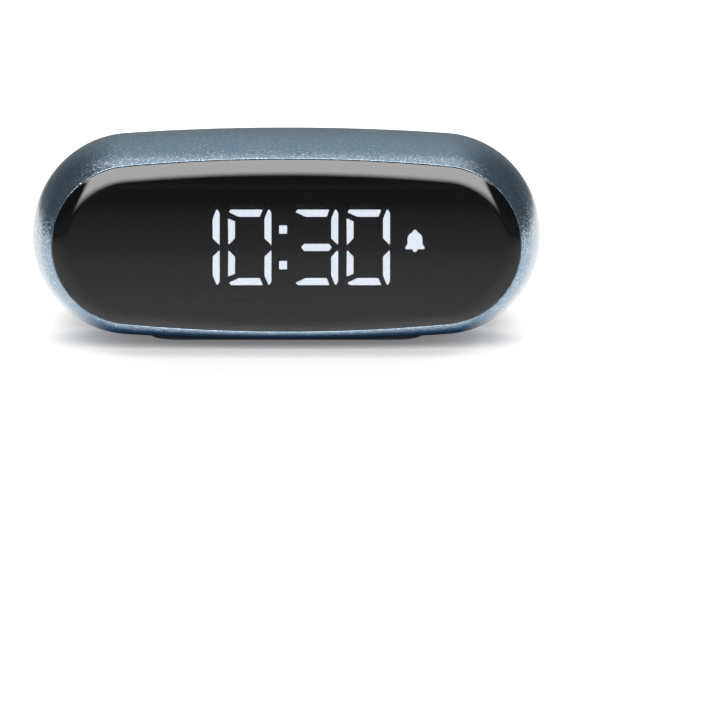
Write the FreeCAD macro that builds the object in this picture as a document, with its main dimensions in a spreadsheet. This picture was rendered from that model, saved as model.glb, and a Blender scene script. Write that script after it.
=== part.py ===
"""Pill-shaped bedside alarm clock with a lit four-digit display, as separate pieces.

The origin is the middle of the footprint, +Z is up and the display faces -Y. Lengths are in
millimetres. Every driving length is a cell of the sheet "dims"; everything else follows from them.
"""
import FreeCAD, Part
import math
import os

import Sketcher

App = FreeCAD
OUT_FOLDER = "parts"
SHEET = "dims"
ORIGIN_POINT = (-1, 1)
START, STOP, CENTRE = range(1, 4)
TINY = 1e-6

DIMENSIONS = [
    # case
    ("case_width", 86.4),
    ("case_height", 35.6),
    ("crown_rise", 0.9),
    ("rim_depth", 15.2),
    ("barrel_radius", 43.0),
    ("wall", 2.2),
    ("seam_back", 8.0),
    ("lap_depth", 1.5),
    ("lap_skin", 1.1),
    ("lap_gap", 0.1),
    ("flange_reach", 5.0),
    ("flange_thick", 1.5),
    # openings for lens and rear panel
    ("lens_side_inset", 3.75),
    ("lens_top_inset", 3.15),
    ("lens_crown_rise", 1.2),
    ("lens_gap", 0.12),
    ("seat_depth", 1.8),
    ("tape_thick", 0.15),
    ("tape_width", 1.6),
    ("tape_margin", 0.3),
    ("lens_thick", 2.95),
    ("dome_radius", 150.0),
    ("lens_edge_round", 1.9),
    ("window_gap", 0.5),
    # foot
    ("foot_length", 46.0),
    ("foot_width", 9.4),
    ("foot_center_y", 1.3),
    ("foot_sunk", 1.2),
    ("foot_proud", 0.2),
    ("foot_gap", 0.1),
    # posts, inserts and case screws
    ("post_inset", 9.7),
    ("post_radius", 2.6),
    ("rib_thick", 1.2),
    ("rib_back", 5.0),
    ("insert_radius", 1.5),
    ("insert_length", 4.0),
    ("insert_gap", 0.02),
    ("case_screw_radius", 0.97),
    ("case_screw_length", 6.4),
    ("case_screw_head_radius", 1.9),
    ("case_screw_head_thick", 1.1),
    ("screw_way", 0.15),
    ("screw_fit", 0.03),
    ("head_gap", 0.2),
    ("cross_width", 0.4),
    ("cross_length", 1.9),
    ("cross_depth", 0.6),
    # display
    ("digit_height", 12.8),
    ("digit_width", 7.36),
    ("digit_pitch", 8.72),
    ("digit_inner_x", 5.62),
    ("stroke", 1.25),
    ("segment_gap", 0.26),
    ("segment_round", 0.15),
    ("corner_cut", 0.38),
    ("steep_slope", 0.5),
    ("gentle_slope", 1.69),
    ("point_rise", 1.22),
    ("bar_inset", 1.07),
    ("display_x", -0.56),
    ("display_z", -0.44),
    ("colon_size", 1.47),
    ("colon_offset", 3.0),
    ("bell_x", 22.2),
    ("bell_z", 1.12),
    ("bell_foot_half", 1.42),
    ("bell_lip_half", 1.62),
    ("bell_hem_half", 1.56),
    ("bell_lip_top", 0.38),
    ("bell_side_half", 1.25),
    ("bell_side_start", 0.95),
    ("bell_side_end", 1.72),
    ("bell_bulge_half", 1.02),
    ("bell_bulge_top", 2.38),
    ("bell_knob_half", 0.42),
    ("bell_shoulder", 2.86),
    ("bell_tip", 3.26),
    ("bell_clapper", 0.47),
    ("housing_width", 50.0),
    ("housing_height", 16.4),
    ("housing_depth", 5.0),
    ("housing_sunk", 0.05),
    ("window_thick", 1.0),
    ("display_base_thick", 0.8),
    ("chip_size", 0.8),
    ("chip_thick", 0.4),
    ("pin_radius", 0.25),
    ("pin_pitch", 2.54),
    ("pin_row_z", 6.8),
    ("pin_tail", 0.5),
    ("pin_fit", 0.07),
    # boards
    ("display_board_post_gap", 0.6),
    ("display_board_inset", 5.5),
    ("display_board_thick", 1.2),
    ("control_board_post_gap", 1.9),
    ("control_board_height", 21.0),
    ("control_board_thick", 1.0),
    ("control_board_y", 6.0),
    ("board_boss_radius", 1.8),
    ("board_screw_radius", 0.7),
    ("board_screw_head_radius", 1.4),
    ("board_screw_head_thick", 1.0),
    ("board_screw_length", 3.6),
    ("board_hole_gap", 0.2),
    ("display_screw_side", 2.8),
    ("display_screw_edge", 1.4),
    ("control_screw_side", 2.5),
    ("control_screw_edge", 2.3),
    # battery
    ("battery_width", 36.0),
    ("battery_height", 20.0),
    ("battery_thick", 7.0),
    ("battery_round", 1.5),
    ("battery_tape_thick", 0.8),
    ("battery_tape_width", 30.0),
    ("battery_tape_height", 11.0),
    ("lead_radius", 0.55),
    ("lead_pitch", 1.5),
    ("lead_bend", 2.0),
    ("plug_reach", 5.5),
    ("plug_width", 3.0),
    ("plug_height", 4.2),
    ("plug_length", 4.0),
    ("plug_out", 1.4),
    ("socket_wall", 0.5),
    ("socket_depth", 3.8),
    ("socket_floor", 1.0),
    ("plug_gap", 0.05),
    # ribbon between the boards
    ("ribbon_width", 8.0),
    ("ribbon_thick", 0.3),
    ("ribbon_bend", 2.0),
    ("ribbon_socket_side", 5.3),
    ("ribbon_socket_width", 9.4),
    ("ribbon_socket_length", 3.4),
    ("ribbon_socket_thick", 1.5),
    ("ribbon_in_socket", 0.75),
    ("ribbon_run", 1.2),
    # rear panel and its keys
    ("panel_thick", 2.2),
    ("panel_edge_round", 0.45),
    ("key_z", 6.0),
    ("key_row_margin", 9.4),
    ("key_width", 6.6),
    ("key_height", 3.6),
    ("key_proud", 0.9),
    ("key_gap", 0.15),
    ("key_flange_margin", 0.8),
    ("key_flange_thick", 0.8),
    ("key_stem_radius", 1.4),
    ("key_edge_round", 0.35),
    ("key_travel", 0.4),
    ("switch_width", 4.5),
    ("switch_thick", 1.9),
    ("plunger_radius", 1.0),
    ("plunger_proud", 0.9),
    ("plunger_sunk", 0.6),
    ("plunger_fit", 0.1),
    # sliding alarm switch
    ("slide_z", -6.0),
    ("slide_margin", 8.5),
    ("slide_travel", 2.0),
    ("slide_body_width", 8.5),
    ("slide_body_height", 3.5),
    ("slide_body_thick", 3.2),
    ("lever_width", 1.6),
    ("lever_height", 1.4),
    ("lever_sunk", 1.6),
    ("lever_fit", 0.15),
    ("knob_neck_width", 3.2),
    ("knob_neck_height", 2.4),
    ("knob_flange_width", 7.6),
    ("knob_flange_height", 4.4),
    ("knob_flange_thick", 0.8),
    ("knob_proud", 0.6),
    ("knob_gap", 0.15),
    ("groove_width", 0.4),
    ("groove_depth", 0.3),
    ("groove_pitch", 0.9),
    # charging port and its light
    ("port_z", -6.0),
    ("port_width", 8.94),
    ("port_height", 3.26),
    ("port_wall", 0.3),
    ("port_recess", 0.4),
    ("port_floor", 1.2),
    ("port_gap", 0.2),
    ("port_round", 1.5),
    ("tongue_width", 6.7),
    ("tongue_height", 0.7),
    ("tongue_back", 0.5),
    ("light_z", -0.7),
    ("light_radius", 0.9),
    ("light_collar", 0.5),
    ("light_gap", 0.05),
    ("light_lift", 0.1),
    ("charge_led_width", 1.6),
    ("charge_led_height", 0.8),
    ("charge_led_thick", 0.7),
    # buzzer
    ("buzzer_margin", 9.5),
    ("buzzer_z", -4.7),
    ("buzzer_radius", 4.5),
    ("buzzer_thick", 4.0),
    ("buzzer_wall", 0.6),
    ("buzzer_port_radius", 0.8),
    ("coil_radius", 2.4),
    ("coil_height", 1.9),
    ("diaphragm_thick", 0.1),
    ("diaphragm_gap", 0.05),
    ("diaphragm_lift", 0.3),
    ("gasket_wall", 1.0),
    ("gasket_margin", 0.2),
    ("mesh_thick", 0.15),
    ("mesh_gap", 0.1),
    ("sound_hole_radius", 0.5),
    ("sound_hole_ring", 1.9),
    # parts on the boards
    ("controller_size", 7.0),
    ("controller_thick", 1.2),
    ("controller_x", 3.0),
    ("controller_z", 3.4),
    ("crystal_radius", 1.0),
    ("crystal_length", 6.0),
    ("crystal_x", -9.0),
    ("crystal_z", 4.6),
    ("charger_width", 3.0),
    ("charger_height", 3.0),
    ("charger_thick", 0.9),
    ("charger_x", 11.0),
    ("charger_z", -5.0),
    ("driver_size", 4.0),
    ("driver_thick", 0.9),
    ("driver_side", 5.3),
    ("driver_drop", 4.4),
    ("capacitor_width", 1.6),
    ("capacitor_height", 0.8),
    ("capacitor_pitch", 3.0),
    ("capacitor_z", -8.0),
]

LIT_SEGMENTS = ("bc", "abcdef", "abcdg", "abcdef")
ALL_SEGMENTS = "abcdefg"
KEY_NAMES = ("clock", "alarm", "minus", "plus")
PINS_PER_ROW = 7
RING_SOUND_HOLES = 6
CAPACITORS = 6
KNOB_GROOVES = 3


class Size:
    """A length held both as a formula of the sheet's cells and as its number."""

    def __init__(self, formula, number):
        self.formula = formula
        self.number = number

    def joined(self, sign, other, number):
        return Size("(%s %s %s)" % (self.formula, sign, other.formula), number)

    def __add__(self, other):
        other = as_size(other)
        return self.joined("+", other, self.number + other.number)

    def __sub__(self, other):
        other = as_size(other)
        return self.joined("-", other, self.number - other.number)

    def __mul__(self, other):
        other = as_size(other)
        return self.joined("*", other, self.number * other.number)

    def __truediv__(self, other):
        other = as_size(other)
        return self.joined("/", other, self.number / other.number)

    def __neg__(self):
        return Size("(-1 * %s)" % self.formula, -self.number)

    def root(self):
        return Size("sqrt(%s)" % self.formula, math.sqrt(self.number))


def as_size(value):
    """A Size as it is, or a plain count or factor as a Size."""
    return value if isinstance(value, Size) else Size(repr(value), value)


class Lengths:
    """The sheet's cells as attributes."""

    def __init__(self, sheet):
        for row, (alias, number) in enumerate(DIMENSIONS, start=1):
            sheet.set("A%d" % row, alias)
            sheet.set("B%d" % row, str(number))
            sheet.setAlias("B%d" % row, alias)
            setattr(self, alias, Size("%s.%s" % (SHEET, alias), number))


doc = App.newDocument("alarm_clock")
dims = Lengths(doc.addObject("Spreadsheet::Sheet", SHEET))
nodes = []
ZERO = as_size(0)

# heights are counted from the case's middle, which stands this far above the resting surface
lift = dims.foot_proud + dims.case_height / 2
half_width = dims.case_width / 2
half_height = dims.case_height / 2

# depths along Y, from the display side (-) to the rear (+)
seat_y = dims.rim_depth - dims.seat_depth
flange_y = seat_y - dims.flange_thick
lens_back_y = -(seat_y + dims.tape_thick)
panel_face_y = seat_y + dims.panel_thick
housing_front_y = dims.housing_sunk - seat_y
display_base_y = housing_front_y + dims.housing_depth
display_board_y = display_base_y + dims.display_base_thick
display_board_back_y = display_board_y + dims.display_board_thick
battery_y = display_board_back_y + dims.battery_tape_thick
control_board_back_y = dims.control_board_y + dims.control_board_thick
lap_y = dims.seam_back - dims.lap_depth

# places across (X) and up (Z) from the case's middle
post_x = half_width - dims.post_inset
display_board_half_width = post_x - dims.post_radius - dims.display_board_post_gap
display_board_half_height = half_height - dims.display_board_inset
display_screw_x = display_board_half_width - dims.display_screw_side
display_screw_z = display_board_half_height - dims.display_screw_edge
control_board_half_width = post_x - dims.post_radius - dims.control_board_post_gap
control_screw_x = control_board_half_width - dims.control_screw_side
control_screw_z = dims.control_board_height / 2 - dims.control_screw_edge
key_row_reach = control_screw_x - dims.key_row_margin
slide_middle = control_screw_x - dims.slide_margin
knob_rest = slide_middle + dims.slide_travel / 2
buzzer_x = dims.buzzer_margin - control_screw_x
plug_x = dims.battery_width / 2 + dims.plug_reach
ribbon_socket_x = display_board_half_width - dims.ribbon_socket_side
driver_x = display_board_half_width - dims.driver_side
driver_z = display_screw_z - dims.driver_drop


# ---------------------------------------------------------------- document helpers

def bind(thing, prop, size):
    """Ties a property to the sheet."""
    thing.setExpression(prop, size.formula)


def finish(thing, node):
    """Names a sub-part, lifts it to its height above the resting surface and keeps it for export."""
    thing.Label = node
    bind(thing, "Placement.Base.z", lift)
    nodes.append(thing)
    return thing


def new_body(name):
    return doc.addObject("PartDesign::Body", name)


def sketch_on(body, role, name, offset):
    """Sketch on an origin plane of its body, shifted along the plane's normal."""
    sketch = body.newObject("Sketcher::SketchObject", name)
    plane = [item for item in body.Origin.OriginFeatures if item.Role == role][0]
    sketch.AttachmentSupport = [(plane, "")]
    sketch.MapMode = "FlatFace"
    bind(sketch, "AttachmentOffset.Base.z", offset)
    return sketch


def front_sketch(body, name, depth):
    """Sketch in X and Z at the given Y."""
    return sketch_on(body, "XZ_Plane", name, -depth)


def side_sketch(body, name):
    """Sketch in Y and Z at X = 0."""
    return sketch_on(body, "YZ_Plane", name, ZERO)


def top_sketch(body, name, height):
    """Sketch in X and Y at the given Z."""
    return sketch_on(body, "XY_Plane", name, height)


def extrude(body, kind, sketch, length, backwards):
    """Pad or pocket of a sketch; backwards turns it against the sketch's own direction."""
    feature = body.newObject("PartDesign::" + kind, sketch.Name + "_" + kind.lower())
    feature.Profile = sketch
    feature.Reversed = backwards
    bind(feature, "Length", length)
    sketch.Visibility = False
    return feature


def pad(body, sketch, length, rearward=True):
    """Adds material from a front sketch, towards the rear or towards the display side."""
    return extrude(body, "Pad", sketch, length, rearward)


def pocket(body, sketch, length, rearward=True):
    """Takes material away from a front sketch, towards the rear or towards the display side."""
    return extrude(body, "Pocket", sketch, length, not rearward)


def round_edges(body, radius, wanted):
    """Fillet on the body's edges that the test picks."""
    doc.recompute()
    base = body.Tip
    edges = enumerate(base.Shape.Edges, start=1)
    names = ["Edge%d" % number for number, edge in edges if wanted(edge.BoundBox)]
    fillet = body.newObject("PartDesign::Fillet", body.Name + "_round")
    fillet.Base = (base, names)
    bind(fillet, "Radius", radius)
    return fillet


def lies_at(depth):
    """Test for edges that lie in the plane Y = depth."""
    def wanted(box):
        return abs(box.YMin - depth.number) < TINY and abs(box.YMax - depth.number) < TINY
    return wanted


# ---------------------------------------------------------------- sketch outlines

def hold(sketch, kind, places, size):
    """Adds a driving length to a sketch and ties it to the sheet."""
    index = sketch.addConstraint(Sketcher.Constraint(kind, *places, size.number))
    bind(sketch, "Constraints[%d]" % index, size)


def hold_point(sketch, shape, end, across, up):
    """Fixes a point of a sketch shape against the sketch's origin; None leaves that way free."""
    if across is not None:
        hold(sketch, "DistanceX", ORIGIN_POINT + (shape, end), across)
    if up is not None:
        hold(sketch, "DistanceY", ORIGIN_POINT + (shape, end), up)


def arc(across, up, radius, start, stop):
    ring = Part.Circle(App.Vector(across, up, 0), App.Vector(0, 0, 1), radius)
    return Part.ArcOfCircle(ring, start, stop)


def circle(sketch, across, up, radius):
    ring = Part.Circle(App.Vector(across.number, up.number, 0), App.Vector(0, 0, 1), radius.number)
    shape = sketch.addGeometry(ring, False)
    hold_point(sketch, shape, CENTRE, across, up)
    hold(sketch, "Radius", (shape,), radius)


def closed_outline(sketch, corners, arcs=None):
    """Closed outline through corners of (across, up).

    arcs maps a corner's number to the (radius, centre height) of an arc that replaces the straight
    side after it. Its centre is on the upright axis, and a corner on it may leave its height None.
    """
    arcs = arcs or {}
    count = len(corners)
    points = []
    for number, (across, up) in enumerate(corners):
        if up is None:
            radius, middle = arcs.get(number) or arcs[(number - 1) % count]
            height = middle.number + math.sqrt(radius.number ** 2 - across.number ** 2)
        else:
            height = up.number
        points.append((across.number, height))
    ends = []
    for number in range(count):
        here = points[number]
        there = points[(number + 1) % count]
        if number in arcs:
            radius, middle = arcs[number]
            start = math.atan2(here[1] - middle.number, here[0])
            stop = math.atan2(there[1] - middle.number, there[0])
            piece = arc(0, middle.number, radius.number, min(start, stop), max(start, stop))
            shape = sketch.addGeometry(piece, False)
            ends.append((shape, START, STOP) if start < stop else (shape, STOP, START))
            hold_point(sketch, shape, CENTRE, ZERO, middle)
            hold(sketch, "Radius", (shape,), radius)
        else:
            side = Part.LineSegment(App.Vector(*here, 0), App.Vector(*there, 0))
            ends.append((sketch.addGeometry(side, False), START, STOP))
    for number, (shape, first, last) in enumerate(ends):
        following = ends[(number + 1) % count]
        joint = (shape, last, following[0], following[1])
        sketch.addConstraint(Sketcher.Constraint("Coincident", *joint))
        hold_point(sketch, shape, first, *corners[number])


def rectangle(sketch, low, high):
    """Rectangle between two corners of (across, up)."""
    closed_outline(sketch, [low, (high[0], low[1]), high, (low[0], high[1])])


def centred_rectangle(sketch, across, up, width, height):
    low = (across - width / 2, up - height / 2)
    rectangle(sketch, low, (across + width / 2, up + height / 2))


def capsule(sketch, across, up, width, height):
    """Outline of a slot with half-round ends."""
    radius = height / 2
    reach = width / 2 - radius
    quarter = math.pi / 2
    right = sketch.addGeometry(
        arc((across + reach).number, up.number, radius.number, -quarter, quarter), False)
    left = sketch.addGeometry(
        arc((across - reach).number, up.number, radius.number, quarter, 3 * quarter), False)
    ends = ((right, STOP, left, START), (left, STOP, right, START))
    for shape, first, other, second in ends:
        sketch_points = [sketch.getPoint(shape, first), sketch.getPoint(other, second)]
        side = sketch.addGeometry(Part.LineSegment(*sketch_points), False)
        sketch.addConstraint(Sketcher.Constraint("Tangent", shape, first, side, START))
        sketch.addConstraint(Sketcher.Constraint("Tangent", side, STOP, other, second))
    hold_point(sketch, right, CENTRE, across + reach, up)
    hold_point(sketch, left, CENTRE, across - reach, up)
    hold(sketch, "Radius", (right,), radius)


class Pill:
    """Long outline of two end arcs joined by two shallow crown arcs that are tangent to them."""

    def __init__(self, width, height, rise):
        self.width = width
        self.half_height = height / 2
        self.radius = self.half_height - rise
        self.reach = width / 2 - self.radius
        self.crown = (self.reach * self.reach + self.half_height * self.half_height
                      - self.radius * self.radius) / (rise * 2)

    def draw(self, sketch, inset=ZERO):
        """Draws the outline, moved inwards by the inset, as four tangent arcs."""
        end = self.radius - inset
        crown = self.crown - inset
        lean = math.asin(self.reach.number / (self.crown.number - self.radius.number))
        quarter = math.pi / 2
        middle = (self.half_height - self.crown).number
        reach = self.reach.number
        right = sketch.addGeometry(arc(reach, 0, end.number, lean - quarter, quarter - lean), False)
        top = sketch.addGeometry(
            arc(0, middle, crown.number, quarter - lean, quarter + lean), False)
        left = sketch.addGeometry(
            arc(-reach, 0, end.number, quarter + lean, 3 * quarter - lean), False)
        bottom = sketch.addGeometry(
            arc(0, -middle, crown.number, 3 * quarter - lean, 3 * quarter + lean), False)
        ring = (right, top, left, bottom)
        for first, second in zip(ring, ring[1:] + ring[:1]):
            sketch.addConstraint(Sketcher.Constraint("Tangent", first, STOP, second, START))
        for shape, across in ((right, self.reach), (left, -self.reach)):
            hold_point(sketch, shape, CENTRE, across, ZERO)
        for shape, radius in ((right, end), (left, end), (top, crown), (bottom, crown)):
            hold(sketch, "Radius", (shape,), radius)


case_pill = Pill(dims.case_width, dims.case_height, dims.crown_rise)
lens_pill = Pill(dims.case_width - dims.lens_side_inset * 2,
                 dims.case_height - dims.lens_top_inset * 2, dims.lens_crown_rise)
barrel_middle = half_height - dims.barrel_radius
inner_radius = dims.barrel_radius - dims.wall


def barrel_height(radius, depth):
    """Height of a barrel arc above the case's middle at a depth along Y."""
    return barrel_middle + (radius * radius - depth * depth).root()


lap_face = barrel_height(dims.barrel_radius, dims.seam_back) - dims.lap_skin


# ---------------------------------------------------------------- plain solids

def box(across, depth, up, width, length, height):
    """Block centred across and up, whose display-side face is at the depth given."""
    block = doc.addObject("Part::Box", "block")
    for prop, size in (("Length", width), ("Width", length), ("Height", height)):
        bind(block, prop, size)
    bind(block, "Placement.Base.x", across - width / 2)
    bind(block, "Placement.Base.y", depth)
    bind(block, "Placement.Base.z", up - height / 2)
    return block


def rod(across, depth, up, radius, length):
    """Round bar that runs towards the rear from the depth given."""
    bar = doc.addObject("Part::Cylinder", "rod")
    bar.Placement.Rotation = App.Rotation(App.Vector(1, 0, 0), -90)
    bind(bar, "Radius", radius)
    bind(bar, "Height", length)
    bind(bar, "Placement.Base.x", across)
    bind(bar, "Placement.Base.y", depth)
    bind(bar, "Placement.Base.z", up)
    return bar


def group(pieces):
    """Several separate solids held as one."""
    bundle = doc.addObject("Part::Compound", "group")
    bundle.Links = pieces
    return bundle


def join(pieces):
    """One solid out of several that meet."""
    whole = doc.addObject("Part::MultiFuse", "join")
    whole.Shapes = pieces
    whole.Refine = True
    return whole


def cut(base, tools):
    """The base without what the tools cover."""
    rest = doc.addObject("Part::Cut", "cut")
    rest.Base = base
    rest.Tool = group(tools)
    return rest


def four_corners(across, up):
    return [(across * side, up * level) for side in (1, -1) for level in (1, -1)]


# ---------------------------------------------------------------- case

def ring_wall(body, corners, arcs):
    """Sweeps a section of the case wall once round the case's outline."""
    path = front_sketch(body, body.Name + "_path", ZERO)
    case_pill.draw(path)
    section = side_sketch(body, body.Name + "_section")
    closed_outline(section, corners, arcs)
    doc.recompute()
    pipe = body.newObject("PartDesign::AdditivePipe", body.Name + "_wall")
    pipe.Profile = section
    pipe.Spine = (path, ["Edge%d" % number for number in range(1, 5)])
    path.Visibility = False
    section.Visibility = False


def front_shell():
    """Front half of the case: barrel wall, lens seat, screw posts and bosses for the display board."""
    body = new_body("front_shell_body")
    outer = (dims.barrel_radius, barrel_middle)
    inner = (inner_radius, barrel_middle)
    flange = half_height - dims.flange_reach
    corners = [
        (-dims.rim_depth, None),
        (dims.seam_back, None),
        (dims.seam_back, lap_face),
        (lap_y, lap_face),
        (lap_y, None),
        (-flange_y, None),
        (-flange_y, flange),
        (-dims.rim_depth, flange),
    ]
    ring_wall(body, corners, {0: outer, 4: inner})

    plate = front_sketch(body, "bezel_plate", -seat_y)
    case_pill.draw(plate, dims.flange_reach - dims.lens_gap)
    pad(body, plate, dims.flange_thick)

    seat = front_sketch(body, "lens_seat", -seat_y)
    lens_pill.draw(seat, -dims.lens_gap)
    pocket(body, seat, dims.seat_depth * 2, rearward=False)

    window = front_sketch(body, "display_window", -seat_y)
    centred_rectangle(window, dims.display_x, dims.display_z,
                      dims.housing_width + dims.window_gap * 2,
                      dims.housing_height + dims.window_gap * 2)
    pocket(body, window, dims.flange_thick)

    posts = front_sketch(body, "screw_posts", -flange_y)
    for side in (1, -1):
        circle(posts, post_x * side, ZERO, dims.post_radius)
    pad(body, posts, flange_y + seat_y)

    ribs = front_sketch(body, "post_ribs", -flange_y)
    half_rib = dims.rib_thick / 2
    for side in (1, -1):
        rectangle(ribs, (post_x * side, -half_rib),
                  ((half_width - dims.wall) * side, half_rib))
    pad(body, ribs, flange_y + dims.rib_back)

    bosses = front_sketch(body, "board_bosses", -flange_y)
    for across, up in four_corners(display_screw_x, display_screw_z):
        circle(bosses, across, up, dims.board_boss_radius)
    pad(body, bosses, flange_y + display_board_y)

    pilots = front_sketch(body, "board_pilots", display_board_y)
    for across, up in four_corners(display_screw_x, display_screw_z):
        circle(pilots, across, up, dims.board_screw_radius + dims.insert_gap)
    pocket(body, pilots, dims.board_screw_length, rearward=False)

    inserts = front_sketch(body, "insert_holes", seat_y)
    for side in (1, -1):
        circle(inserts, post_x * side, ZERO, dims.insert_radius + dims.insert_gap)
    pocket(body, inserts, dims.insert_length, rearward=False)

    ways = front_sketch(body, "screw_ways", seat_y)
    for side in (1, -1):
        circle(ways, post_x * side, ZERO, dims.case_screw_radius + dims.screw_way)
    pocket(body, ways, dims.case_screw_length + dims.screw_way, rearward=False)

    recess = top_sketch(body, "foot_recess", dims.foot_sunk - half_height)
    capsule(recess, ZERO, dims.foot_center_y, dims.foot_length + dims.foot_gap * 2,
            dims.foot_width + dims.foot_gap * 2)
    extrude(body, "Pocket", recess, dims.foot_sunk * 2, False)
    finish(body, "front_shell")


def rear_shell():
    """Rear half of the case: barrel wall with a tongue under the front half and the panel's seat."""
    body = new_body("rear_shell_body")
    outer = (dims.barrel_radius, barrel_middle)
    inner = (inner_radius, barrel_middle)
    flange = half_height - dims.flange_reach
    tongue_y = lap_y + dims.lap_gap
    tongue_face = lap_face - dims.lap_gap
    corners = [
        (dims.seam_back, None),
        (dims.rim_depth, None),
        (dims.rim_depth, flange),
        (flange_y, flange),
        (flange_y, None),
        (tongue_y, None),
        (tongue_y, tongue_face),
        (dims.seam_back, tongue_face),
    ]
    ring_wall(body, corners, {0: outer, 4: inner})
    seat = front_sketch(body, "panel_seat", seat_y)
    lens_pill.draw(seat, -dims.lens_gap)
    pocket(body, seat, dims.seat_depth * 2)
    finish(body, "rear_shell")


def front_lens():
    """Smoked lens: gently domed from top to bottom, with a rounded front edge."""
    body = new_body("front_lens_body")
    outline = front_sketch(body, "lens_outline", lens_back_y)
    lens_pill.draw(outline)
    pad(body, outline, dims.lens_thick, rearward=False)

    front_y = lens_back_y - dims.lens_thick
    clear_y = front_y - dims.lens_thick
    top = lens_pill.half_height + dims.lens_gap
    dome_middle = front_y + dims.dome_radius
    sag_y = dome_middle - (dims.dome_radius * dims.dome_radius - top * top).root()
    shaving = side_sketch(body, "lens_dome")
    lines = []
    corners = [(sag_y, -top), (clear_y, -top), (clear_y, top), (sag_y, top)]
    for here, there in zip(corners, corners[1:]):
        start = App.Vector(here[0].number, here[1].number, 0)
        stop = App.Vector(there[0].number, there[1].number, 0)
        lines.append(shaving.addGeometry(Part.LineSegment(start, stop), False))
    half_turn = math.asin(top.number / dims.dome_radius.number)
    dome = shaving.addGeometry(
        arc(dome_middle.number, 0, dims.dome_radius.number, math.pi - half_turn,
            math.pi + half_turn), False)
    for first, second in zip(lines, lines[1:]):
        shaving.addConstraint(Sketcher.Constraint("Coincident", first, STOP, second, START))
    shaving.addConstraint(Sketcher.Constraint("Coincident", lines[-1], STOP, dome, START))
    shaving.addConstraint(Sketcher.Constraint("Coincident", dome, STOP, lines[0], START))
    hold_point(shaving, dome, CENTRE, dome_middle, ZERO)
    hold(shaving, "Radius", (dome,), dims.dome_radius)
    hold_point(shaving, lines[0], START, None, -top)
    hold_point(shaving, lines[0], STOP, clear_y, -top)
    hold_point(shaving, lines[1], STOP, clear_y, top)
    hold_point(shaving, lines[2], STOP, None, top)
    doming = extrude(body, "Pocket", shaving, lens_pill.width * 2, False)
    doming.Midplane = True

    wall_end = (sag_y + dims.lens_edge_round / 2).number
    round_edges(body, dims.lens_edge_round, lambda edge_box: edge_box.YMax < wall_end)
    finish(body, "front_lens")


def lens_tape():
    """Ring of double-sided tape that holds the lens on its seat."""
    body = new_body("lens_tape_body")
    ring = front_sketch(body, "tape_ring", -seat_y)
    lens_pill.draw(ring, dims.tape_margin)
    lens_pill.draw(ring, dims.tape_margin + dims.tape_width)
    pad(body, ring, dims.tape_thick, rearward=False)
    finish(body, "lens_tape")


def foot_pad():
    """Rubber strip under the case."""
    body = new_body("foot_pad_body")
    outline = top_sketch(body, "foot_outline", dims.foot_sunk - half_height)
    capsule(outline, ZERO, dims.foot_center_y, dims.foot_length, dims.foot_width)
    extrude(body, "Pad", outline, dims.foot_sunk + dims.foot_proud, True)
    finish(body, "foot_pad")


# ---------------------------------------------------------------- display

def digit_outlines(middle_x, lit):
    """Corner lists of the segments of a digit that are asked for by letter.

    They are counted from the digit's upper left corner, to the right and down. The flat strokes
    slope gently at their left end and steeply at their right end, and the lower half mirrors the
    upper one.
    """
    width = dims.digit_width.number
    height = dims.digit_height.number
    stroke = dims.stroke.number
    gap = dims.segment_gap.number
    corner = dims.corner_cut.number
    steep = dims.steep_slope.number
    gentle = dims.gentle_slope.number
    point = dims.point_rise.number
    inset = dims.bar_inset.number
    half = height / 2
    inner = width - stroke
    upright_end = half - gap - gap / 2
    upper = {
        "a": [(gap + corner - gap / 2, 0), (inner - gap, 0), (inner - gap - steep, stroke),
              (gap / 2 + gentle, stroke), (gap / 2, corner)],
        "f": [(0, stroke + gap), (stroke, stroke + gap + steep),
              (stroke, upright_end - point), (0, upright_end)],
        "b": [(inner, stroke + gap + corner / 2), (inner + steep, gap / 2), (width - corner, 0),
              (width, corner + gap), (width, upright_end), (inner, upright_end - point)],
    }
    outlines = dict(upper)
    for letter, twin in (("d", "a"), ("e", "f"), ("c", "b")):
        outlines[letter] = [(across, height - down) for across, down in upper[twin]]
    top = half - stroke / 2
    low = half + stroke / 2
    near = inset + steep
    outlines["g"] = [(inset, half), (near, top), (width - near, top),
                     (width - inset, half), (width - near, low), (near, low)]
    left = middle_x - width / 2
    upmost = dims.display_z.number + half
    return [[(left + across, upmost - down) for across, down in outlines[letter]]
            for letter in lit]


def prism(outline, depth, length):
    """Solid over a flat outline of (x, z) corners, with its upright edges rounded."""
    corners = [App.Vector(across, depth, up) for across, up in outline]
    face = Part.Face(Part.makePolygon(corners + corners[:1]))
    solid = face.extrude(App.Vector(0, length, 0))
    edges = [edge for edge in solid.Edges if edge.BoundBox.YLength > length - TINY]
    return solid.makeFillet(dims.segment_round.number, edges).Solids[0]


def digit_middles():
    inner = dims.digit_inner_x.number
    outer = inner + dims.digit_pitch.number
    return [dims.display_x.number + across for across in (-outer, -inner, inner, outer)]


def segment_prisms(choice, depth, length):
    """Prisms over the segments that a letter string per digit picks."""
    prisms = []
    for middle, letters in zip(digit_middles(), choice):
        for outline in digit_outlines(middle, letters):
            prisms.append(prism(outline, depth, length))
    return prisms


def colon_prisms(depth, length):
    """The two square dots between hours and minutes."""
    half = dims.colon_size.number / 2
    prisms = []
    for side in (1, -1):
        middle = dims.display_z.number + side * dims.colon_offset.number
        across = dims.display_x.number
        outline = [(across - half, middle - half), (across + half, middle - half),
                   (across + half, middle + half), (across - half, middle + half)]
        prisms.append(prism(outline, depth, length))
    return prisms


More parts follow.
